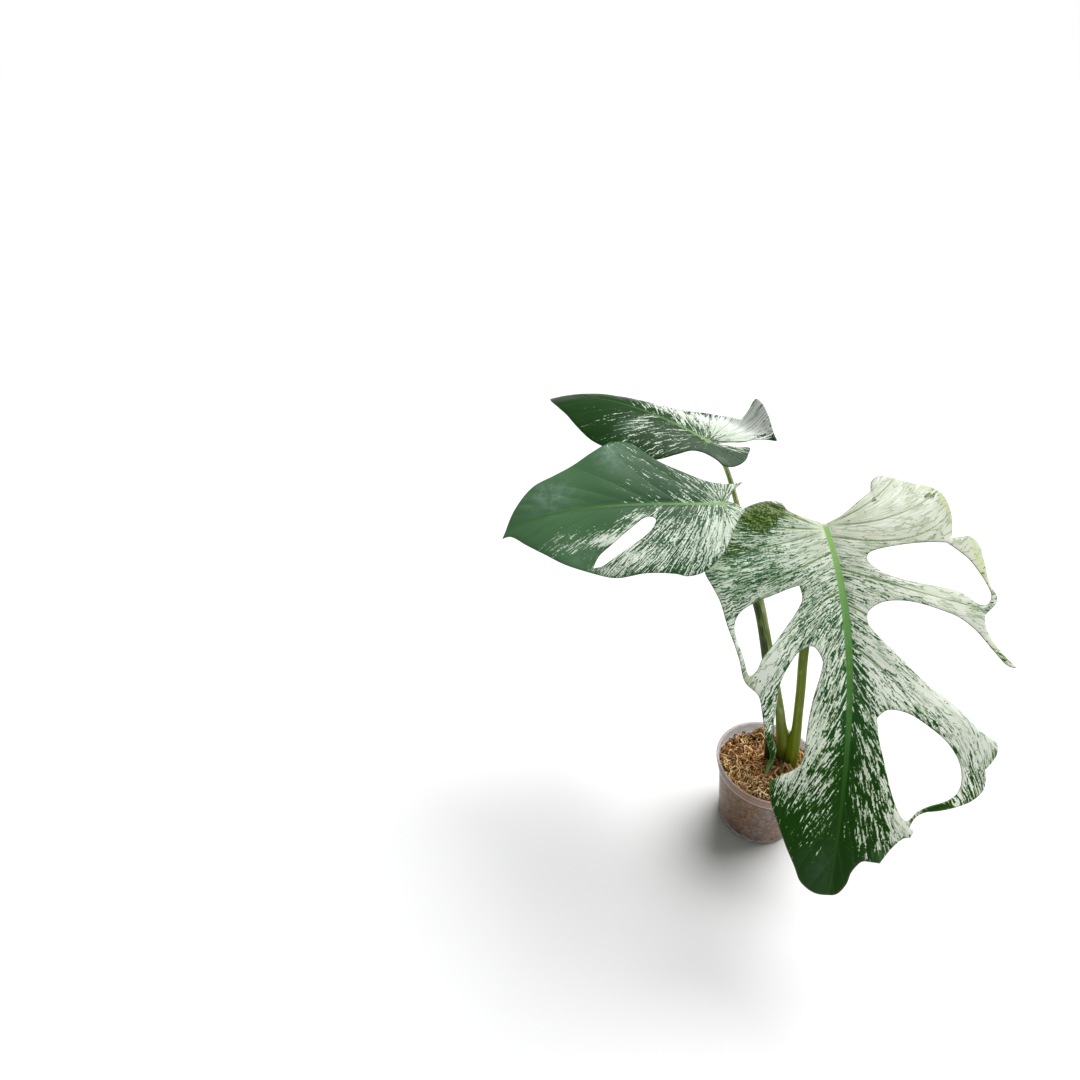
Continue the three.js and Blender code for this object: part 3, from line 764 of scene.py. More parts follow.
def make_leaf(number, leaf, upper, under):
    """A blade whose two faces meet at a thin edge, with swellings between its veins."""
    loops = [stroke_points(strokes, EDGE_STEP) for strokes in (leaf["outline"], *leaf.get("holes", []))]
    points, faces = blade_triangles(loops)
    s, y = points[:, 0], points[:, 1]
    rim = edge_distance(points, loops)
    on_edge = rim < ON_EDGE
    taper = clamp(rim / EDGE_TAPER)
    count = both_sides(leaf, s, y, y > 0)[2]
    away = clamp((np.abs(y) - QUILT_START) / QUILT_GROWTH)
    quilt = QUILT_HEIGHT * np.abs(np.sin(math.pi * count)) ** QUILT_POWER * away * clamp(rim / QUILT_EDGE)
    groove = np.where(s > -2, GROOVE_DEPTH * bell(np.abs(y) - GROOVE_PLACE, GROOVE_REACH), 0)
    groove *= np.clip(1.1 - s / leaf["length"], 0.2, 1) * clamp(rim / GROOVE_EDGE)
    middle = blade_at(leaf, s, y, quilt - groove)
    normal = blade_normal(leaf, s, y)
    half = BLADE_THICKNESS / 2 * np.sqrt(1 - (1 - taper) ** 2)
    half[on_edge] = 0
    depth = half + rib_depth(leaf, s, y) * taper
    top = middle + normal * half[:, None]

    # The under face has the points of the edge in common with the upper one
    inner = np.nonzero(~on_edge)[0]
    below = np.arange(len(points))
    below[inner] = len(points) + np.arange(len(inner))
    bottom = (middle - normal * depth[:, None])[inner]
    every = np.concatenate([faces, below[faces][:, ::-1]])
    which = np.repeat([0, 1], len(faces))
    mesh = make_piece(f"blade_{number}", np.concatenate([top, bottom]), every,
                      [f"leaf_{number}"], [upper, under], which)

    plane = np.concatenate([points, points[inner]])
    green = np.interp(plane[:, 0], *np.array(leaf["green"], dtype=float).T)
    core = clamp((plane[:, 0] / leaf["length"] - CORE_START) / CORE_GROWTH)
    core = core * bell(plane[:, 1], CORE_REACH)
    add_value(mesh, "green", green + spots(plane, leaf["patches"]) + leaf["core"] * core)
    for name in ("olive_and_painted_shade", "lime", "painted_sheen"):
        add_value(mesh, name, spots(plane, leaf.get(name, [])))
    add_value(mesh, "rim", np.concatenate([rim, rim[inner]]))
    corners = every.ravel()
    corner_s, corner_y = plane[corners, 0], plane[corners, 1]
    left = np.repeat(plane[every].mean(axis=1)[:, 1] > 0, 3)
    along, across, count, gap, spread = both_sides(leaf, corner_s, corner_y, left)
    add_uv(mesh, "plane", corner_s, corner_y)
    add_uv(mesh, "flow", along, across + np.where(left, LEFT_SHIFT, 0))
    add_uv(mesh, "veins", count, gap)
    add_uv(mesh, "spread", spread, spread)


# Leaf materials. Each pair of colours goes from one shade to the other, or from base to tip. Sides
# are the places across the leaf of the cool and the warm shade. A halo is (colour, reach), dashes are
# (length, width at the base, width at the tip).

BLADE_LOOKS = {
    "1": {
        "cool": ((222, 235, 216), (204, 220, 194)),
        "warm": ((224, 228, 212), (206, 212, 190)),
        "sides": (-70, 20),
        "mid": ((84, 126, 87), (70, 120, 42)),
        "dark": ((44, 88, 50), (22, 64, 2)),
        "ribs": ((144, 192, 108), (92, 142, 74), (38, 78, 20)),
        "rib_widths": (2.8, 3.7, 0.8),
        "vein_pale": (100, 130, 60),
        "vein_green": (62, 102, 48),
        "vein_width": 0.8,
        "margin": (104, 114, 68),
        "halo": ((226, 234, 206), 22),
        "wobble": 2.4,
        "patchy": 0.5,
        "lines": 0.7,
        "dash": (12, 1.5, 2.6),
        "gloss": 0.18,
    },
    "2": {
        "cool": ((218, 228, 212), (198, 212, 190)),
        "warm": ((220, 232, 216), (200, 214, 194)),
        "sides": (-30, 60),
        "mid": ((68, 106, 72), (94, 130, 92)),
        "dark": ((38, 78, 42), (78, 116, 77)),
        "ribs": ((134, 174, 104), (98, 140, 78), (74, 114, 58)),
        "rib_widths": (1.5, 1.4, 0.6),
        "vein_pale": (150, 172, 130),
        "vein_green": (70, 106, 66),
        "vein_width": 0.3,
        "margin": (96, 122, 78),
        "halo": ((150, 182, 124), 4),
        "wobble": 2.2,
        "patchy": 0.3,
        "lines": 0.35,
        "dash": (19, 1.5, 1.2),
        "gloss": 0.12,
    },
    "3": {
        # Leaf 3's cool whites are lightened as painted light, lifting its ear, which lies in shade
        "cool": ((250, 253, 248), (240, 248, 238)),
        "warm": ((218, 226, 210), (192, 208, 186)),
        "sides": (-54, -20),
        "mid": ((54, 90, 52), (58, 94, 48)),
        "dark": ((28, 62, 24), (32, 65, 23)),
        "ribs": ((128, 162, 90), (72, 112, 50), (40, 74, 28)),
        "rib_widths": (2.0, 1.4, 0.7),
        "vein_pale": (132, 150, 124),
        "vein_green": (50, 84, 46),
        "vein_width": 0.4,
        "margin": (62, 82, 56),
        "halo": ((150, 180, 120), 5),
        "wobble": 2.6,
        "patchy": 0.4,
        "lines": 0.75,
        "dash": (22, 2.0, 1.8),
        "gloss": 0.1,
    },
}
RIB_WIDEST = 0.3
DASH_WIDTHS = (0.7, 1.4, 2.8, 5.6, 11.2)
# The colour of the painted sheen, a painted reflection on the leaves
PAINTED_SHEEN_COLOUR = (140, 168, 158)
TIP_PALE = (240, 247, 232)
UNDER_PALE = (150, 172, 132)
OLIVES = ((42, 72, 4), (140, 164, 74))
LIMES = ((194, 204, 150), (98, 148, 80))


def dash_noise(sh, look, length, s, along, across, spread):
    """Noise for dashes along the side veins. It is drawn at several widths, so that the dashes are as
    wide where the veins run close together as elsewhere."""
    long, first_width, last_width = look["dash"]
    wanted = sh.ramp(s, 0.2 * length, 0.65 * length, first_width, last_width)
    wanted = sh.math("DIVIDE", wanted, spread)
    drawn = [sh.streaks(along, across, long, width, seed, detail=3, roughness=0.62)
             for seed, width in enumerate(DASH_WIDTHS)]
    dashes = drawn[0]
    for width, wider in zip(DASH_WIDTHS[1:], drawn[1:]):
        dashes = sh.blend(sh.step(wanted, 0.66 * width, 0.84 * width), dashes, wider)
    return dashes


def midrib(sh, look, length, s, y):
    """How much of the midrib shows at each place, and its colour."""
    first, widest, last = look["rib_widths"]
    turn = RIB_WIDEST * length
    width = sh.add(sh.step(s, 0, turn, first, widest), sh.ramp(s, turn, length, 0.0, last - widest))
    cover = sh.step(sh.math("SUBTRACT", sh.math("ABSOLUTE", y), width), -0.5, 0.5, 1, 0)
    cover = sh.times(cover, sh.step(s, -3, 1))
    base, middle, end = look["ribs"]
    tone = sh.mix(sh.ramp(s, 0, turn), base, middle)
    tone = sh.mix(sh.ramp(s, turn, 0.75 * length), tone, end)
    threads = sh.streaks(s, y, 30, 1.3, 4.0)
    return cover, sh.mix(sh.step(threads, 0.3, 0.7, 0.0, 0.4), tone, look["halo"][0], "SOFT_LIGHT")


def blade_material(number, leaf, under):
    look = BLADE_LOOKS[number]
    length = leaf["length"]
    sh = Shader(f"blade_{number}_{'under' if under else 'upper'}")
    s, y = sh.uv("plane")
    along, across = sh.uv("flow")
    count, gap = sh.uv("veins")
    spread, _ = sh.uv("spread")

    # Dashes of green run along the side veins and wriggle a little
    wriggle = sh.streaks(along, across, 8, 6, detail=1)
    bent = sh.add(across, sh.sway(wriggle, look["wobble"]))
    dashes = dash_noise(sh, look, length, s, along, bent, spread)
    beads = sh.streaks(s, y, 2.4, 2.1, 8.0, detail=1)
    patches = sh.streaks(along, bent, 40, 9, 5.0)
    share = sh.add(sh.value("green"), sh.sway(patches, look["patchy"]))
    level = sh.add(sh.sway(share, 0.55), 0.5)
    over = sh.math("SUBTRACT", level, sh.add(dashes, sh.sway(beads, 0.26)))
    mask = sh.step(over, -0.007, 0.012)
    deep = sh.step(over, 0.006, 0.07)

    # Thin winding lines join the dashes
    cloud = sh.streaks(along, bent, 34, 3.4, 2.0, detail=3)
    line = sh.step(sh.math("ABSOLUTE", sh.add(cloud, -0.5)), 0.008, 0.045, 1, 0)
    line = sh.times(line, sh.step(share, 0.1, 0.5, 0.6 * look["lines"], look["lines"]))

    tip = sh.ramp(s, 0.3 * length, 0.7 * length)
    tint = sh.streaks(along, across, 25, 7, 9.0)
    shade = sh.step(tint, 0.35, 0.65)
    pale = sh.mix(sh.ramp(y, *look["sides"]), sh.mix(shade, *look["cool"]), sh.mix(shade, *look["warm"]))
    pale = sh.mix(sh.ramp(s, 0.12 * length, 0.45 * length, 0.0, 0.8), pale, TIP_PALE)
    mid = sh.mix(tip, *look["mid"])
    green = sh.mix(deep, mid, sh.mix(tip, *look["dark"]))
    colour = sh.mix(line, pale, sh.mix(sh.step(share, 0.15, 0.4), look["vein_pale"], mid))
    colour = sh.mix(mask, colour, green)

    # Yellow green patches, and olive patches that are partly painted shade
    lime = sh.step(sh.add(sh.value("lime"), sh.sway(tint, 1.2)), 0.25, 0.8)
    colour = sh.mix(sh.times(lime, 0.65), colour, sh.mix(mask, *LIMES))
    olive_and_painted_shade = sh.step(sh.add(sh.value("olive_and_painted_shade"), sh.sway(dashes, -2.2)), 0.36, 0.56)
    streak = sh.step(sh.add(beads, sh.times(dashes, 1.5)), 1.22, 1.46)
    colour = sh.mix(sh.times(olive_and_painted_shade, 0.9), colour, sh.mix(streak, *OLIVES))

    # Painted sheen: a painted reflection on the leaf, clouded
    haze = sh.streaks(s, y, 9, 9, detail=4, roughness=0.7)
    painted_sheen = sh.times(sh.value("painted_sheen"), sh.step(haze, 0.36, 0.66, 0.1, 0.6))
    colour = sh.mix(painted_sheen, colour, PAINTED_SHEEN_COLOUR)

    # Side veins, widest at the midrib, with finer ones between them
    aside = sh.times(sh.math("PINGPONG", count, 0.5), gap)
    aside = sh.math("SUBTRACT", aside, sh.ramp(along, 0, 130, look["vein_width"], 0.15))
    lateral = sh.times(sh.step(aside, -0.1, 0.5, 1, 0), sh.ramp(along, 30, 140, 0.85, 0.5))
    lateral = sh.times(lateral, sh.ramp(s, 0.3 * length, 0.7 * length, 1.0, 0.22))
    lateral = sh.times(lateral, sh.step(share, 0.05, 0.35, 0.68, 1.0))
    fine = sh.times(sh.math("PINGPONG", sh.times(count, 6), 0.5), sh.times(gap, 1 / 6))
    fine = sh.step(fine, 0.05, 0.5, 1, 0)
    vein = sh.mix(mask, look["vein_pale"], look["vein_green"])
    colour = sh.mix(sh.times(fine, sh.step(share, 0.1, 0.4, 0.3, 0.12)), colour, vein)
    colour = sh.mix(lateral, colour, vein)

    # Pale base, midrib and margin
    halo_colour, halo_reach = look["halo"]
    base = sh.math("SQRT", sh.add(sh.times(s, s), sh.times(y, y)))
    colour = sh.mix(sh.step(base, 2, halo_reach, 0.75, 0.0), colour, halo_colour)
    rib, tone = midrib(sh, look, length, s, y)
    colour = sh.mix(sh.times(rib, 0.95), colour, tone)
    colour = sh.mix(sh.step(sh.value("rim"), 0.2, 1.0, 0.6, 0.0), colour, look["margin"])

    relief = sh.add(sh.times(lateral, -0.5), sh.times(fine, -0.2))
    relief = sh.add(relief, sh.times(sh.noise(sh.vector(s, y), scale=1.4), 0.35))
    if under:
        colour = sh.mix(0.3, colour, UNDER_PALE)
        sh.set(Roughness=0.6)
    else:
        sh.set(Roughness=sh.ramp(tint, 0.3, 0.7, 0.32, 0.44))
    sh.set(Base_Color=colour, Specular_IOR_Level=look["gloss"])
    sh.bump(relief, 0.35, 0.0004)
    return sh.material


# Stalks

def catmull_rom(knots, t):
    """Points on a centripetal line through the knots, with t from 0 to 1 over them all."""
    knots = np.array(knots, dtype=float)
    ends = [2 * knots[0] - knots[1], *knots, 2 * knots[-1] - knots[-2]]
    points = []
    for value in t * (len(knots) - 1):
        k = min(int(value), len(knots) - 2)
        p0, p1, p2, p3 = ends[k:k + 4]
        d0, d1, d2 = (max(np.linalg.norm(b - a), 1e-6) ** 0.5 for a, b in ((p0, p1), (p1, p2), (p2, p3)))
        v1 = ((p1 - p0) / d0 - (p2 - p0) / (d0 + d1) + (p2 - p1) / d1) * d1
        v2 = ((p2 - p1) / d1 - (p3 - p1) / (d1 + d2) + (p3 - p2) / d2) * d1
        points.append(cubic(p1, p2, v1, v2, value - k))
    return np.array(points)


def carried_frames(line, face):
    """Two directions across the line that turn with it and start towards face."""
    tangents = unit(np.gradient(line, axis=0))
    across = np.array(face, dtype=float)
    firsts = []
    for tangent in tangents:
        across = unit(across - tangent * (across @ tangent))
        firsts.append(across)
    firsts = np.array(firsts)
    return firsts, np.cross(tangents, firsts)


def make_stalk(number, leaf, knots, face, beside, material):
    """A stalk with a groove along it. Its foot spreads towards the stalk that it stands beside."""
    origin, up, _ = blade_frame(leaf, np.array([float(STALK_MEETS)]))
    neck = origin[0] - up[0] * leaf["neck"]
    last = knots[-1][3]
    radii = [k[3] for k in knots] + [last, last * STALK_NARROWING]
    t = np.linspace(0, 1, STALK_STEPS + 1)
    line = catmull_rom([k[:3] for k in knots] + [neck, origin[0]], t)
    radius = np.interp(t * (len(radii) - 1), np.arange(len(radii)), radii)
    firsts, seconds = carried_frames(line, face)

    # The knee and the sheath are placed by what is left of the stalk up to the blade
    angle = even_turns(STALK_SIDES)
    aside = np.minimum(angle, TURN - angle)
    reach = distances(line)
    left = reach[-1] - reach
    knee = 1 + KNEE_SIZE * bell(left - KNEE_PLACE, KNEE_REACH)
    sheath = SHEATH_DEPTH * clamp((left - SHEATH_START) / SHEATH_GROWTH)
    groove = bell(aside, SHEATH_TURN)
    lips = LIPS_SIZE * bell(aside - LIPS_PLACE, LIPS_TURN)
    section = 1 - sheath[:, None] * (groove - lips)[None] + RIDGE_HEIGHT * np.cos(RIDGES * angle)[None]
    if beside:
        knot = np.array(beside[1][:3], dtype=float)
        way = unit((knot - line[np.argmin(np.abs(line[:, 2] - knot[2]))]) * [1, 1, 0])
        turned = (firsts @ way)[:, None] * np.cos(angle) + (seconds @ way)[:, None] * np.sin(angle)
        low = clamp((FLARE_TOP - line[:, 2]) / (FLARE_TOP - FLARE_FOOT))
        flare = FLARE * (low * low * (3 - 2 * low))[:, None]
        section = section * (1 + flare * np.maximum(0, turned) ** 2)
    rings = (radius * knee)[:, None] * section
    points = (line[:, None] + firsts[:, None] * (rings * np.cos(angle))[:, :, None]
              + seconds[:, None] * (rings * np.sin(angle))[:, :, None]).reshape(-1, 3)
    faces = tube_faces(STALK_STEPS, STALK_SIDES)
    walls = len(faces)
    faces.append(list(range(STALK_SIDES))[::-1])
    faces.append([STALK_STEPS * STALK_SIDES + j for j in range(STALK_SIDES)])
    mesh = make_piece(f"stem_{number}", points, faces, [f"stalk_{number}"], [material])
    add_value(mesh, "left", np.repeat(left, STALK_SIDES))
    add_value(mesh, "reach", np.repeat(reach, STALK_SIDES))
    add_value(mesh, "sheath", np.tile(groove, STALK_STEPS + 1))

    # The last wall of each ring runs on to the full turn
    corners = np.concatenate(faces)
    full = AROUND_SCALE * TURN
    around = np.tile(angle * AROUND_SCALE, STALK_STEPS + 1)[corners]
    per_wall = around[:walls * 4].reshape(-1, 4)
    wraps = (np.ptp(per_wall, axis=1) > full / 2)[:, None] & (per_wall < full / 2)
    per_wall[wraps] += full
    add_uv(mesh, "flow", np.repeat(reach, STALK_SIDES)[corners], around)


# Each stalk's colours: base, lines, blotches and foot
STALK_LOOKS = {
    "1": ((114, 128, 30), (84, 102, 4), (144, 156, 62), (118, 136, 0)),
    "2": ((60, 82, 16), (18, 36, 4), (130, 148, 68), (26, 44, 4)),
    # Stalk 3's base and pale colours are lightened, partly painted light, where the leaf above shades it
    "3": ((164, 178, 112), (116, 132, 50), (232, 240, 204), (110, 126, 14)),
}


def stalk_material(number):
    base, dark, pale, foot = STALK_LOOKS[number]
    sh = Shader(f"stalk_{number}")
    along, around = sh.uv("flow")
    lines = sh.streaks(along, around, 45, 1 / 0.9, detail=3, roughness=0.6)
    blotch = sh.streaks(along, around, 18, 1 / 0.22, 3.0)
    colour = sh.mix(sh.step(lines, 0.36, 0.64), dark, base)
    colour = sh.mix(sh.times(sh.step(blotch, 0.48, 0.7), 0.5), colour, pale)
    flecks = sh.streaks(along, around, 3, 1 / 1.6, 7.0, detail=1)
    colour = sh.mix(sh.times(sh.step(flecks, 0.66, 0.74), 0.6), colour, pale)
    # Paler towards the blade: on stalk 3 this is partly painted light that lifts its top out of the
    # leaf's shade
    colour = sh.mix(sh.step(sh.value("left"), 6, 60, 0.8, 0.0), colour, pale)
    colour = sh.mix(sh.step(sh.value("reach"), 60, 190, 0.8, 0.0), colour, foot)
    colour = sh.mix(sh.times(sh.value("sheath"), 0.35), colour, dark)
    sh.set(Base_Color=colour, Roughness=sh.ramp(lines, 0.3, 0.7, 0.36, 0.5), Specular_IOR_Level=0.2)
    sh.bump(sh.add(lines, sh.times(flecks, 0.3)), 0.3, 0.0005)
    return sh.material


# Moss

def pot_radius(z):
    """The inner radius of the pot at a height."""
    heights = [0, POT_FLOOR + POT_ROUND, BAND_START - BAND_STEP, BAND_START, POT_HEIGHT]
    radii = [r - POT_WALL for r in (POT_FOOT, POT_FOOT, WALL_TOP, BAND_FOOT, BAND_TOP)]
    return np.interp(z, heights, radii)


def moss_top(x, y):
    """The height of the heap, with its slope, bumps and mounds."""
    bumps = np.sin(x * 0.21 + 1) * np.sin(y * 0.25) + 0.6 * np.sin(x * 0.13 - y * 0.37 + 2)
    mounds = sum(lift * np.exp(-((x - u) ** 2 + (y - v) ** 2) / reach ** 2)
                 for u, v, reach, lift in MOUNDS)
    return MOSS_TOP - MOSS_SLOPE * y + MOSS_BUMP * bumps + mounds


def moss_body(rng):
    """A closed heap, rough on top, under the loose fibres."""
    waves = rng.uniform(0.3, 1.3, (ROUGH_WAVES, 2)) * rng.choice([-1, 1], (ROUGH_WAVES, 2))
    phases = rng.uniform(0, TURN, ROUGH_WAVES)
    angle = even_turns(MOSS_SIDES)
    edge = pot_radius(moss_top(MOSS_EDGE * np.cos(angle), MOSS_EDGE * np.sin(angle))) - WALL_ROOM
    rings = []
    for k in range(1, MOSS_RINGS + 1):
        x, y = (edge * k / MOSS_RINGS * f(angle) for f in (np.cos, np.sin))
        rough = sum(np.sin(a * x + b * y + p) for (a, b), p in zip(waves, phases)) / (ROUGH_WAVES / 2)
        rings.append(columns(x, y, moss_top(x, y) - MOSS_SINK + ROUGH_HEIGHT * rough))
    for z in HEAP_LEVELS:
        rings.append(ring_points(pot_radius(z) - WALL_ROOM, angle, np.full_like(angle, z)))
    points = np.concatenate([[[0, 0, moss_top(0, 0) - MOSS_SINK]], *rings, [[0, 0, HEAP_LEVELS[-1]]]])
    last = 1 + (len(rings) - 1) * MOSS_SIDES
    faces = []
    for j in range(MOSS_SIDES):
        ahead = (j + 1) % MOSS_SIDES
        faces.append([0, 1 + j, 1 + ahead])
        for first in range(1, last, MOSS_SIDES):
            a, b = first + j, first + ahead
            faces.append([a, a + MOSS_SIDES, b + MOSS_SIDES, b])
        faces.append([last + j, len(points) - 1, last + ahead])
    return points, faces


def fibre_tubes(lines, radii):
    """Three-sided tubes along many short lines, with closed ends."""
    count, stops, _ = lines.shape
    run = unit(np.gradient(lines, axis=1))
    side = unit(np.cross(run, np.array(OFF_FIBRE)))
    other = np.cross(run, side)
    taper = np.sin(np.linspace(FIBRE_ENDS, math.pi - FIBRE_ENDS, stops)) ** 0.5
    reach = (radii[:, None] * taper[None])[:, :, None]
    points = []
    for k in range(3):
        turn = k * TURN / 3
        points.append(lines + reach * (side * math.cos(turn) + other * math.sin(turn)))
    points = np.stack(points, axis=2).reshape(-1, 3)
    faces = []
    for first in range(0, count * stops * 3, stops * 3):
        end = first + 3 * (stops - 1)
        faces += tube_faces(stops - 1, 3, first)
        faces += [[first + 2, first + 1, first], [end, end + 1, end + 2]]
    return points, faces


def top_fibres(rng):
    """Curly fibres over the heap, kept inside the pot."""
    radius = TOP_REACH * np.sqrt(rng.uniform(0, 1, TOP_FIBRES))
    place = ring_points(radius, rng.uniform(0, TURN, TOP_FIBRES))
    heading = rng.uniform(0, TURN, TOP_FIBRES)
    curl = rng.normal(0, TOP_CURL, TOP_FIBRES)
    length = rng.uniform(*TOP_LENGTHS, TOP_FIBRES)
    arch = rng.uniform(0.3, 4.6, TOP_FIBRES) ** 1.15
    base = rng.uniform(-2.4, 0.8, TOP_FIBRES)
    limit = pot_radius(MOSS_TOP) - TOP_ROOM
    lines = []
    for i in range(FIBRE_STEPS + 1):
        t = i / FIBRE_STEPS
        lift = base + arch * np.sin(math.pi * t) + rng.normal(0, TOP_WANDER, TOP_FIBRES)
        lines.append(columns(*place.T, moss_top(*place.T) + lift))
        heading = heading + curl + rng.normal(0, TOP_WANDER, TOP_FIBRES)
        place = place + ring_points(length, heading)
        place *= np.minimum(1, limit / np.maximum(np.linalg.norm(place, axis=1), 1e-6))[:, None]
    return np.stack(lines, axis=1)


def wall_fibres(rng):
    """Fibres pressed against the wall, seen through it."""
    angle = rng.uniform(0, TURN, WALL_FIBRES)
    z = rng.uniform(5, 86, WALL_FIBRES)
    slope = rng.normal(0, 1.3, WALL_FIBRES)
    length = rng.uniform(*WALL_LENGTHS, WALL_FIBRES)
    lines = []
    for _ in range(FIBRE_STEPS + 1):
        radius = pot_radius(z) - WALL_FIBRE_ROOM
        lines.append(ring_points(radius, angle, z))
        slope = slope + rng.normal(0, WALL_WANDER, WALL_FIBRES)
        angle = angle + length * np.cos(slope) / radius
        z = np.clip(z + length * np.sin(slope), 4, 87)
    return np.stack(lines, axis=1)


def make_moss(heap, fibre):
    rng = np.random.default_rng(MOSS_SEED)
    body, heap_faces = moss_body(rng)
    lines = np.concatenate([top_fibres(rng), wall_fibres(rng)])
    tubes, fibre_faces = fibre_tubes(lines, rng.uniform(*FIBRE_RADII, len(lines)))
    faces = heap_faces + [[i + len(body) for i in face] for face in fibre_faces]
    which = np.repeat([0, 1], [len(heap_faces), len(fibre_faces)])
    mesh = make_piece("moss_fibres", np.concatenate([body, tubes]), faces, ["moss"],
                      [heap, fibre], which)
    tones = np.repeat(rng.uniform(0, 1, len(lines)), 3 * (FIBRE_STEPS + 1))
    add_value(mesh, "tone", np.concatenate([np.full(len(body), HEAP_TONE), tones]))


def heap_material():
    sh = Shader("moss_heap")
    place = sh.place()
    coarse = sh.noise(place, scale=160, detail=4, roughness=0.7)
    strands = sh.noise(place, scale=620, detail=3, roughness=0.65, distortion=1.2)
    colour = sh.mix(sh.step(coarse, 0.35, 0.65), (52, 27, 9), (124, 78, 36))
    colour = sh.mix(sh.step(strands, 0.52, 0.66), colour, (190, 142, 86))
    sh.set(Base_Color=colour, Roughness=0.92)
    sh.bump(sh.add(strands, coarse), 0.9, 0.0015)
    return sh.material


def fibre_material():
    sh = Shader("moss_fibre")
    tone = sh.value("tone")
    along = sh.noise(sh.place(), scale=420)
    colour = sh.mix(sh.step(tone, 0.1, 0.5), (96, 50, 16), (190, 136, 74))
    colour = sh.mix(sh.step(tone, 0.5, 0.85), colour, (242, 208, 152))
    colour = sh.mix(sh.times(sh.step(along, 0.45, 0.7), 0.4), colour, (128, 78, 36))

    # The fibres at the front are painted paler: painted light, where the fibres further back lie in shade
    front = sh.apart(sh.place())[1]
    front_painted_light = sh.times(sh.step(front, -50 * MM, -10 * MM, 0.7, 0.0), sh.step(tone, 0.3, 0.6))
    colour = sh.mix(front_painted_light, colour, (250, 224, 178))
    sh.set(Base_Color=colour, Roughness=sh.ramp(along, 0.3, 0.7, 0.7, 0.9))
    return sh.material


# Pot

def arc(centre, radius, start, end, count):
    turns = np.radians(np.linspace(start, end, count))
    return [[centre[0] + radius * math.cos(t), centre[1] + radius * math.sin(t)] for t in turns]


def pot_profile():
    """The wall's outline from the edge of the base, up outside, over the lip and down inside."""
    lip_foot = POT_HEIGHT - LIP_HEIGHT
    return [
        *arc((POT_FOOT - POT_ROUND, POT_ROUND), POT_ROUND, -90, -6, 6),
        [POT_FOOT + 0.15, POT_ROUND + 0.8],
        [WALL_TOP - 0.1, BAND_START - BAND_STEP - 0.6],
        [WALL_TOP + 0.2, BAND_START - BAND_STEP],
        [BAND_FOOT - 0.3, BAND_START - 0.3],
        [BAND_FOOT, BAND_START + 0.5],
        [BAND_TOP, lip_foot - 1],
        [BAND_TOP + 0.3, lip_foot - 0.4],
        [POT_RIM - 0.5, lip_foot],
        *arc((POT_RIM - LIP_ROUND, lip_foot + LIP_ROUND), LIP_ROUND, -60, 0, 4),
        *arc((POT_RIM - LIP_ROUND, POT_HEIGHT - LIP_ROUND), LIP_ROUND, 0, 90, 6),
        *arc((BAND_TOP - POT_WALL + LIP_ROUND, POT_HEIGHT - LIP_ROUND), LIP_ROUND, 90, 180, 6),
        [BAND_FOOT - POT_WALL, BAND_START + 0.5],
        [BAND_FOOT - POT_WALL - 0.3, BAND_START - 0.3],
        [WALL_TOP - POT_WALL, BAND_START - BAND_STEP],
        *arc((POT_FOOT - POT_WALL - POT_ROUND, POT_FLOOR + POT_ROUND), POT_ROUND, 0, -90, 6),
    ]


def make_pot(material):
    profile = pot_profile()
    angle = even_turns(POT_SIDES)
    points = np.concatenate([ring_points(r, angle, np.full(POT_SIDES, z)) for r, z in profile])
    faces = tube_faces(len(profile) - 1, POT_SIDES)
    ring = ring_points(DRAIN_RADIUS, even_turns(DRAIN_SIDES))
    holes = []
    for k in range(DRAIN_HOLES):
        middle = (k + 0.5) / DRAIN_HOLES * TURN
        holes.append(ring + DRAIN_CIRCLE * np.array([math.cos(middle), math.sin(middle)]))
    first = len(points)
    points = add_plate(points, faces, 0, holes, upward=False)
    second = len(points)
    points = add_plate(points, faces, len(profile) - 1, holes, upward=True)
    for a, b in loop_edges(holes):
        faces.append([first + b, first + a, second + a, second + b])
    make_piece("clear_pot", points, faces, ["pot"], [material])


def add_plate(points, faces, row, holes, upward):
    """Adds the flat disc with holes inside one ring of the wall, and gives all the points."""
    start = row * POT_SIDES
    rim = points[start:start + POT_SIDES]
    flat = np.concatenate([rim[:, :2], *holes])
    made = delaunay_2d_cdt([Vector(p) for p in flat.tolist()], loop_edges([rim, *holes]), [], 0, 1e-6)
    origin = np.array([ids[0] for ids in made[3]])
    triangles = origin[np.array(made[2])]
    places = [*range(start, start + POT_SIDES), *range(len(points), len(points) + len(flat) - POT_SIDES)]
    for a, b, c in triangles[~inside(flat[triangles].mean(axis=1), holes)]:
        turn = np.cross(flat[b] - flat[a], flat[c] - flat[a])
        order = (a, b, c) if (turn > 0) == upward else (c, b, a)
        faces.append([places[i] for i in order])
    added = flat[POT_SIDES:]
    return np.concatenate([points, columns(*added.T, np.full(len(added), rim[0, 2]))])


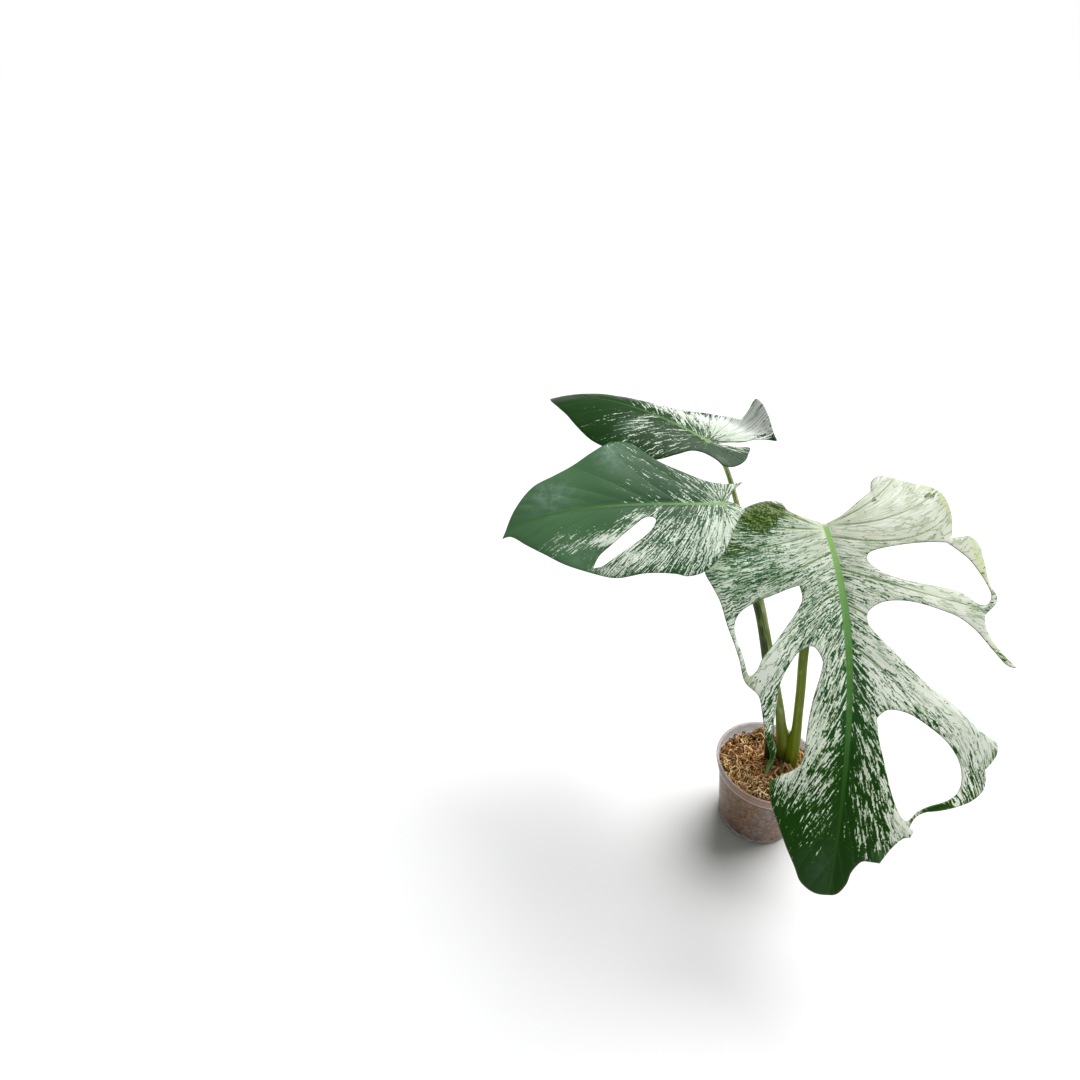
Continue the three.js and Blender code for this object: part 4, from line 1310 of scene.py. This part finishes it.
def pot_material():
    """Plastic that is partly clear, mottled as if the damp moss showed through it."""
    sh = Shader("clear_plastic")
    place = sh.place()
    stains = sh.noise(place, scale=38, detail=4, roughness=0.6, distortion=0.6)
    film = sh.noise(place, scale=120, detail=3, roughness=0.6)
    mottle = sh.noise(place, scale=210, detail=4, roughness=0.62, distortion=0.5)
    colour = sh.mix(sh.step(stains, 0.36, 0.62), (172, 155, 148), (170, 134, 106))
    colour = sh.mix(sh.times(sh.step(film, 0.46, 0.66), 0.5), colour, (122, 100, 72))
    colour = sh.mix(sh.step(mottle, 0.4, 0.6, 0.42, 0.0), colour, (92, 68, 42))
    colour = sh.mix(sh.step(mottle, 0.48, 0.68, 0.0, 0.7), colour, (204, 170, 150))

    # The collar band is greyer at the back and painted lighter at the front, painted light where the
    # front lies in shade, with a painted shadow line under it and a painted highlight line on it
    _, back, height = sh.apart(place)
    foot = (BAND_START - BAND_STEP) * MM
    band = sh.mix(sh.step(back, -48 * MM, -8 * MM), (196, 168, 152), (148, 136, 138))
    band = sh.mix(sh.step(stains, 0.46, 0.6, 0.0, 0.3), band, (150, 118, 84))
    colour = sh.mix(sh.step(height, foot, foot + 2 * MM, 0.0, 0.75), colour, band)
    # A dark line under the collar is a painted shadow
    under = sh.step(sh.math("ABSOLUTE", sh.add(height, -foot + MM)), 0.8 * MM, 2 * MM, 0.7, 0.0)
    colour = sh.mix(under, colour, (84, 66, 50))
    # A light line on the collar near its foot is a painted highlight
    line = sh.step(sh.math("ABSOLUTE", sh.add(height, -foot - 3 * MM)), 0.6 * MM, 1.3 * MM, 1, 0)
    colour = sh.mix(line, colour, (248, 226, 210))
    sh.set(Base_Color=colour, Roughness=sh.ramp(film, 0.3, 0.7, 0.26, 0.44), Alpha=0.54, IOR=1.49)
    sh.bump(film, 0.05, 0.0003)
    return sh.material


def crown_material():
    sh = Shader("crown_bark")
    place = sh.place()
    rings = sh.noise(sh.node("Mapping", {0: place, 3: (60, 60, 420)}).outputs[0], detail=3)
    patches = sh.noise(place, scale=140, detail=4)
    colour = sh.mix(sh.step(rings, 0.4, 0.62), (58, 56, 24), (98, 96, 48))
    colour = sh.mix(sh.step(patches, 0.5, 0.7), colour, (84, 62, 34))
    sh.set(Base_Color=colour, Roughness=0.75)
    sh.bump(rings, 0.5, 0.0008)
    return sh.material


# Stage

def make_stage():
    mesh = bpy.data.meshes.new("floor")
    r = FLOOR_REACH
    mesh.from_pydata([(-r, -r, 0), (r, -r, 0), (r, r, 0), (-r, r, 0)], [], [(0, 1, 2, 3)])
    sh = Shader("floor_paper")
    sh.set(Base_Color=(0.9, 0.9, 0.9, 1), Roughness=0.95)
    mesh.materials.append(sh.material)
    floor = add_object("floor", mesh)

    # The camera sees white behind the plant, and the fill lights it
    world = bpy.data.worlds.new("studio")
    world.use_nodes = True
    tree = world.node_tree
    fill = next(n for n in tree.nodes if n.type == "BACKGROUND")
    fill.inputs[0].default_value = FILL_COLOUR
    fill.inputs[1].default_value = FILL_STRENGTH
    backdrop = tree.nodes.new("ShaderNodeBackground")
    backdrop.inputs[0].default_value = (1, 1, 1, 1)
    ray = tree.nodes.new("ShaderNodeLightPath")
    choose = tree.nodes.new("ShaderNodeMixShader")
    out = next(n for n in tree.nodes if n.type == "OUTPUT_WORLD")
    tree.links.new(ray.outputs["Is Camera Ray"], choose.inputs[0])
    tree.links.new(fill.outputs[0], choose.inputs[1])
    tree.links.new(backdrop.outputs[0], choose.inputs[2])
    tree.links.new(choose.outputs[0], out.inputs[0])
    bpy.context.scene.world = world

    data = bpy.data.lights.new("key", "SUN")
    data.energy = KEY_STRENGTH
    data.angle = math.radians(KEY_ANGLE)
    key = add_object("key", data)
    key.rotation_euler = (-Vector(KEY_FROM)).to_track_quat("-Z", "Y").to_euler()


def make_camera():
    data = bpy.data.cameras.new("camera")
    data.lens = CAMERA_LENS
    data.sensor_width = SENSOR_WIDTH
    camera = add_object("camera", data)
    camera.location = CAMERA_PLACE
    camera.rotation_euler = (math.radians(90 - CAMERA_PITCH), 0, 0)
    bpy.context.scene.camera = camera


# The scene

make_camera()
make_stage()
bpy.context.scene.view_settings.view_transform = "Standard"

# Each leaf with its slot, and its stalk, the way its groove starts to face and the stalk beside it
leaves = {
    "1": (LEAF_1, "pale_blade", STALK_1, (0, -1, 0), STALK_3),
    "2": (LEAF_2, "dark_blade", STALK_2, (1, 0, 0.3), None),
    "3": (LEAF_3, "dark_blade", STALK_3, (1, 0, 0.3), STALK_1),
}
for number, (leaf, slot, knots, face, beside) in leaves.items():
    make_leaf(number, leaf, blade_material(number, leaf, False), blade_material(number, leaf, True))
    make_stalk(number, leaf, knots, face, beside, stalk_material(number))

make_moss(heap_material(), fibre_material())
make_pot(pot_material())
for material_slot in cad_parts["crown"].material_slots:
    material_slot.material = crown_material()
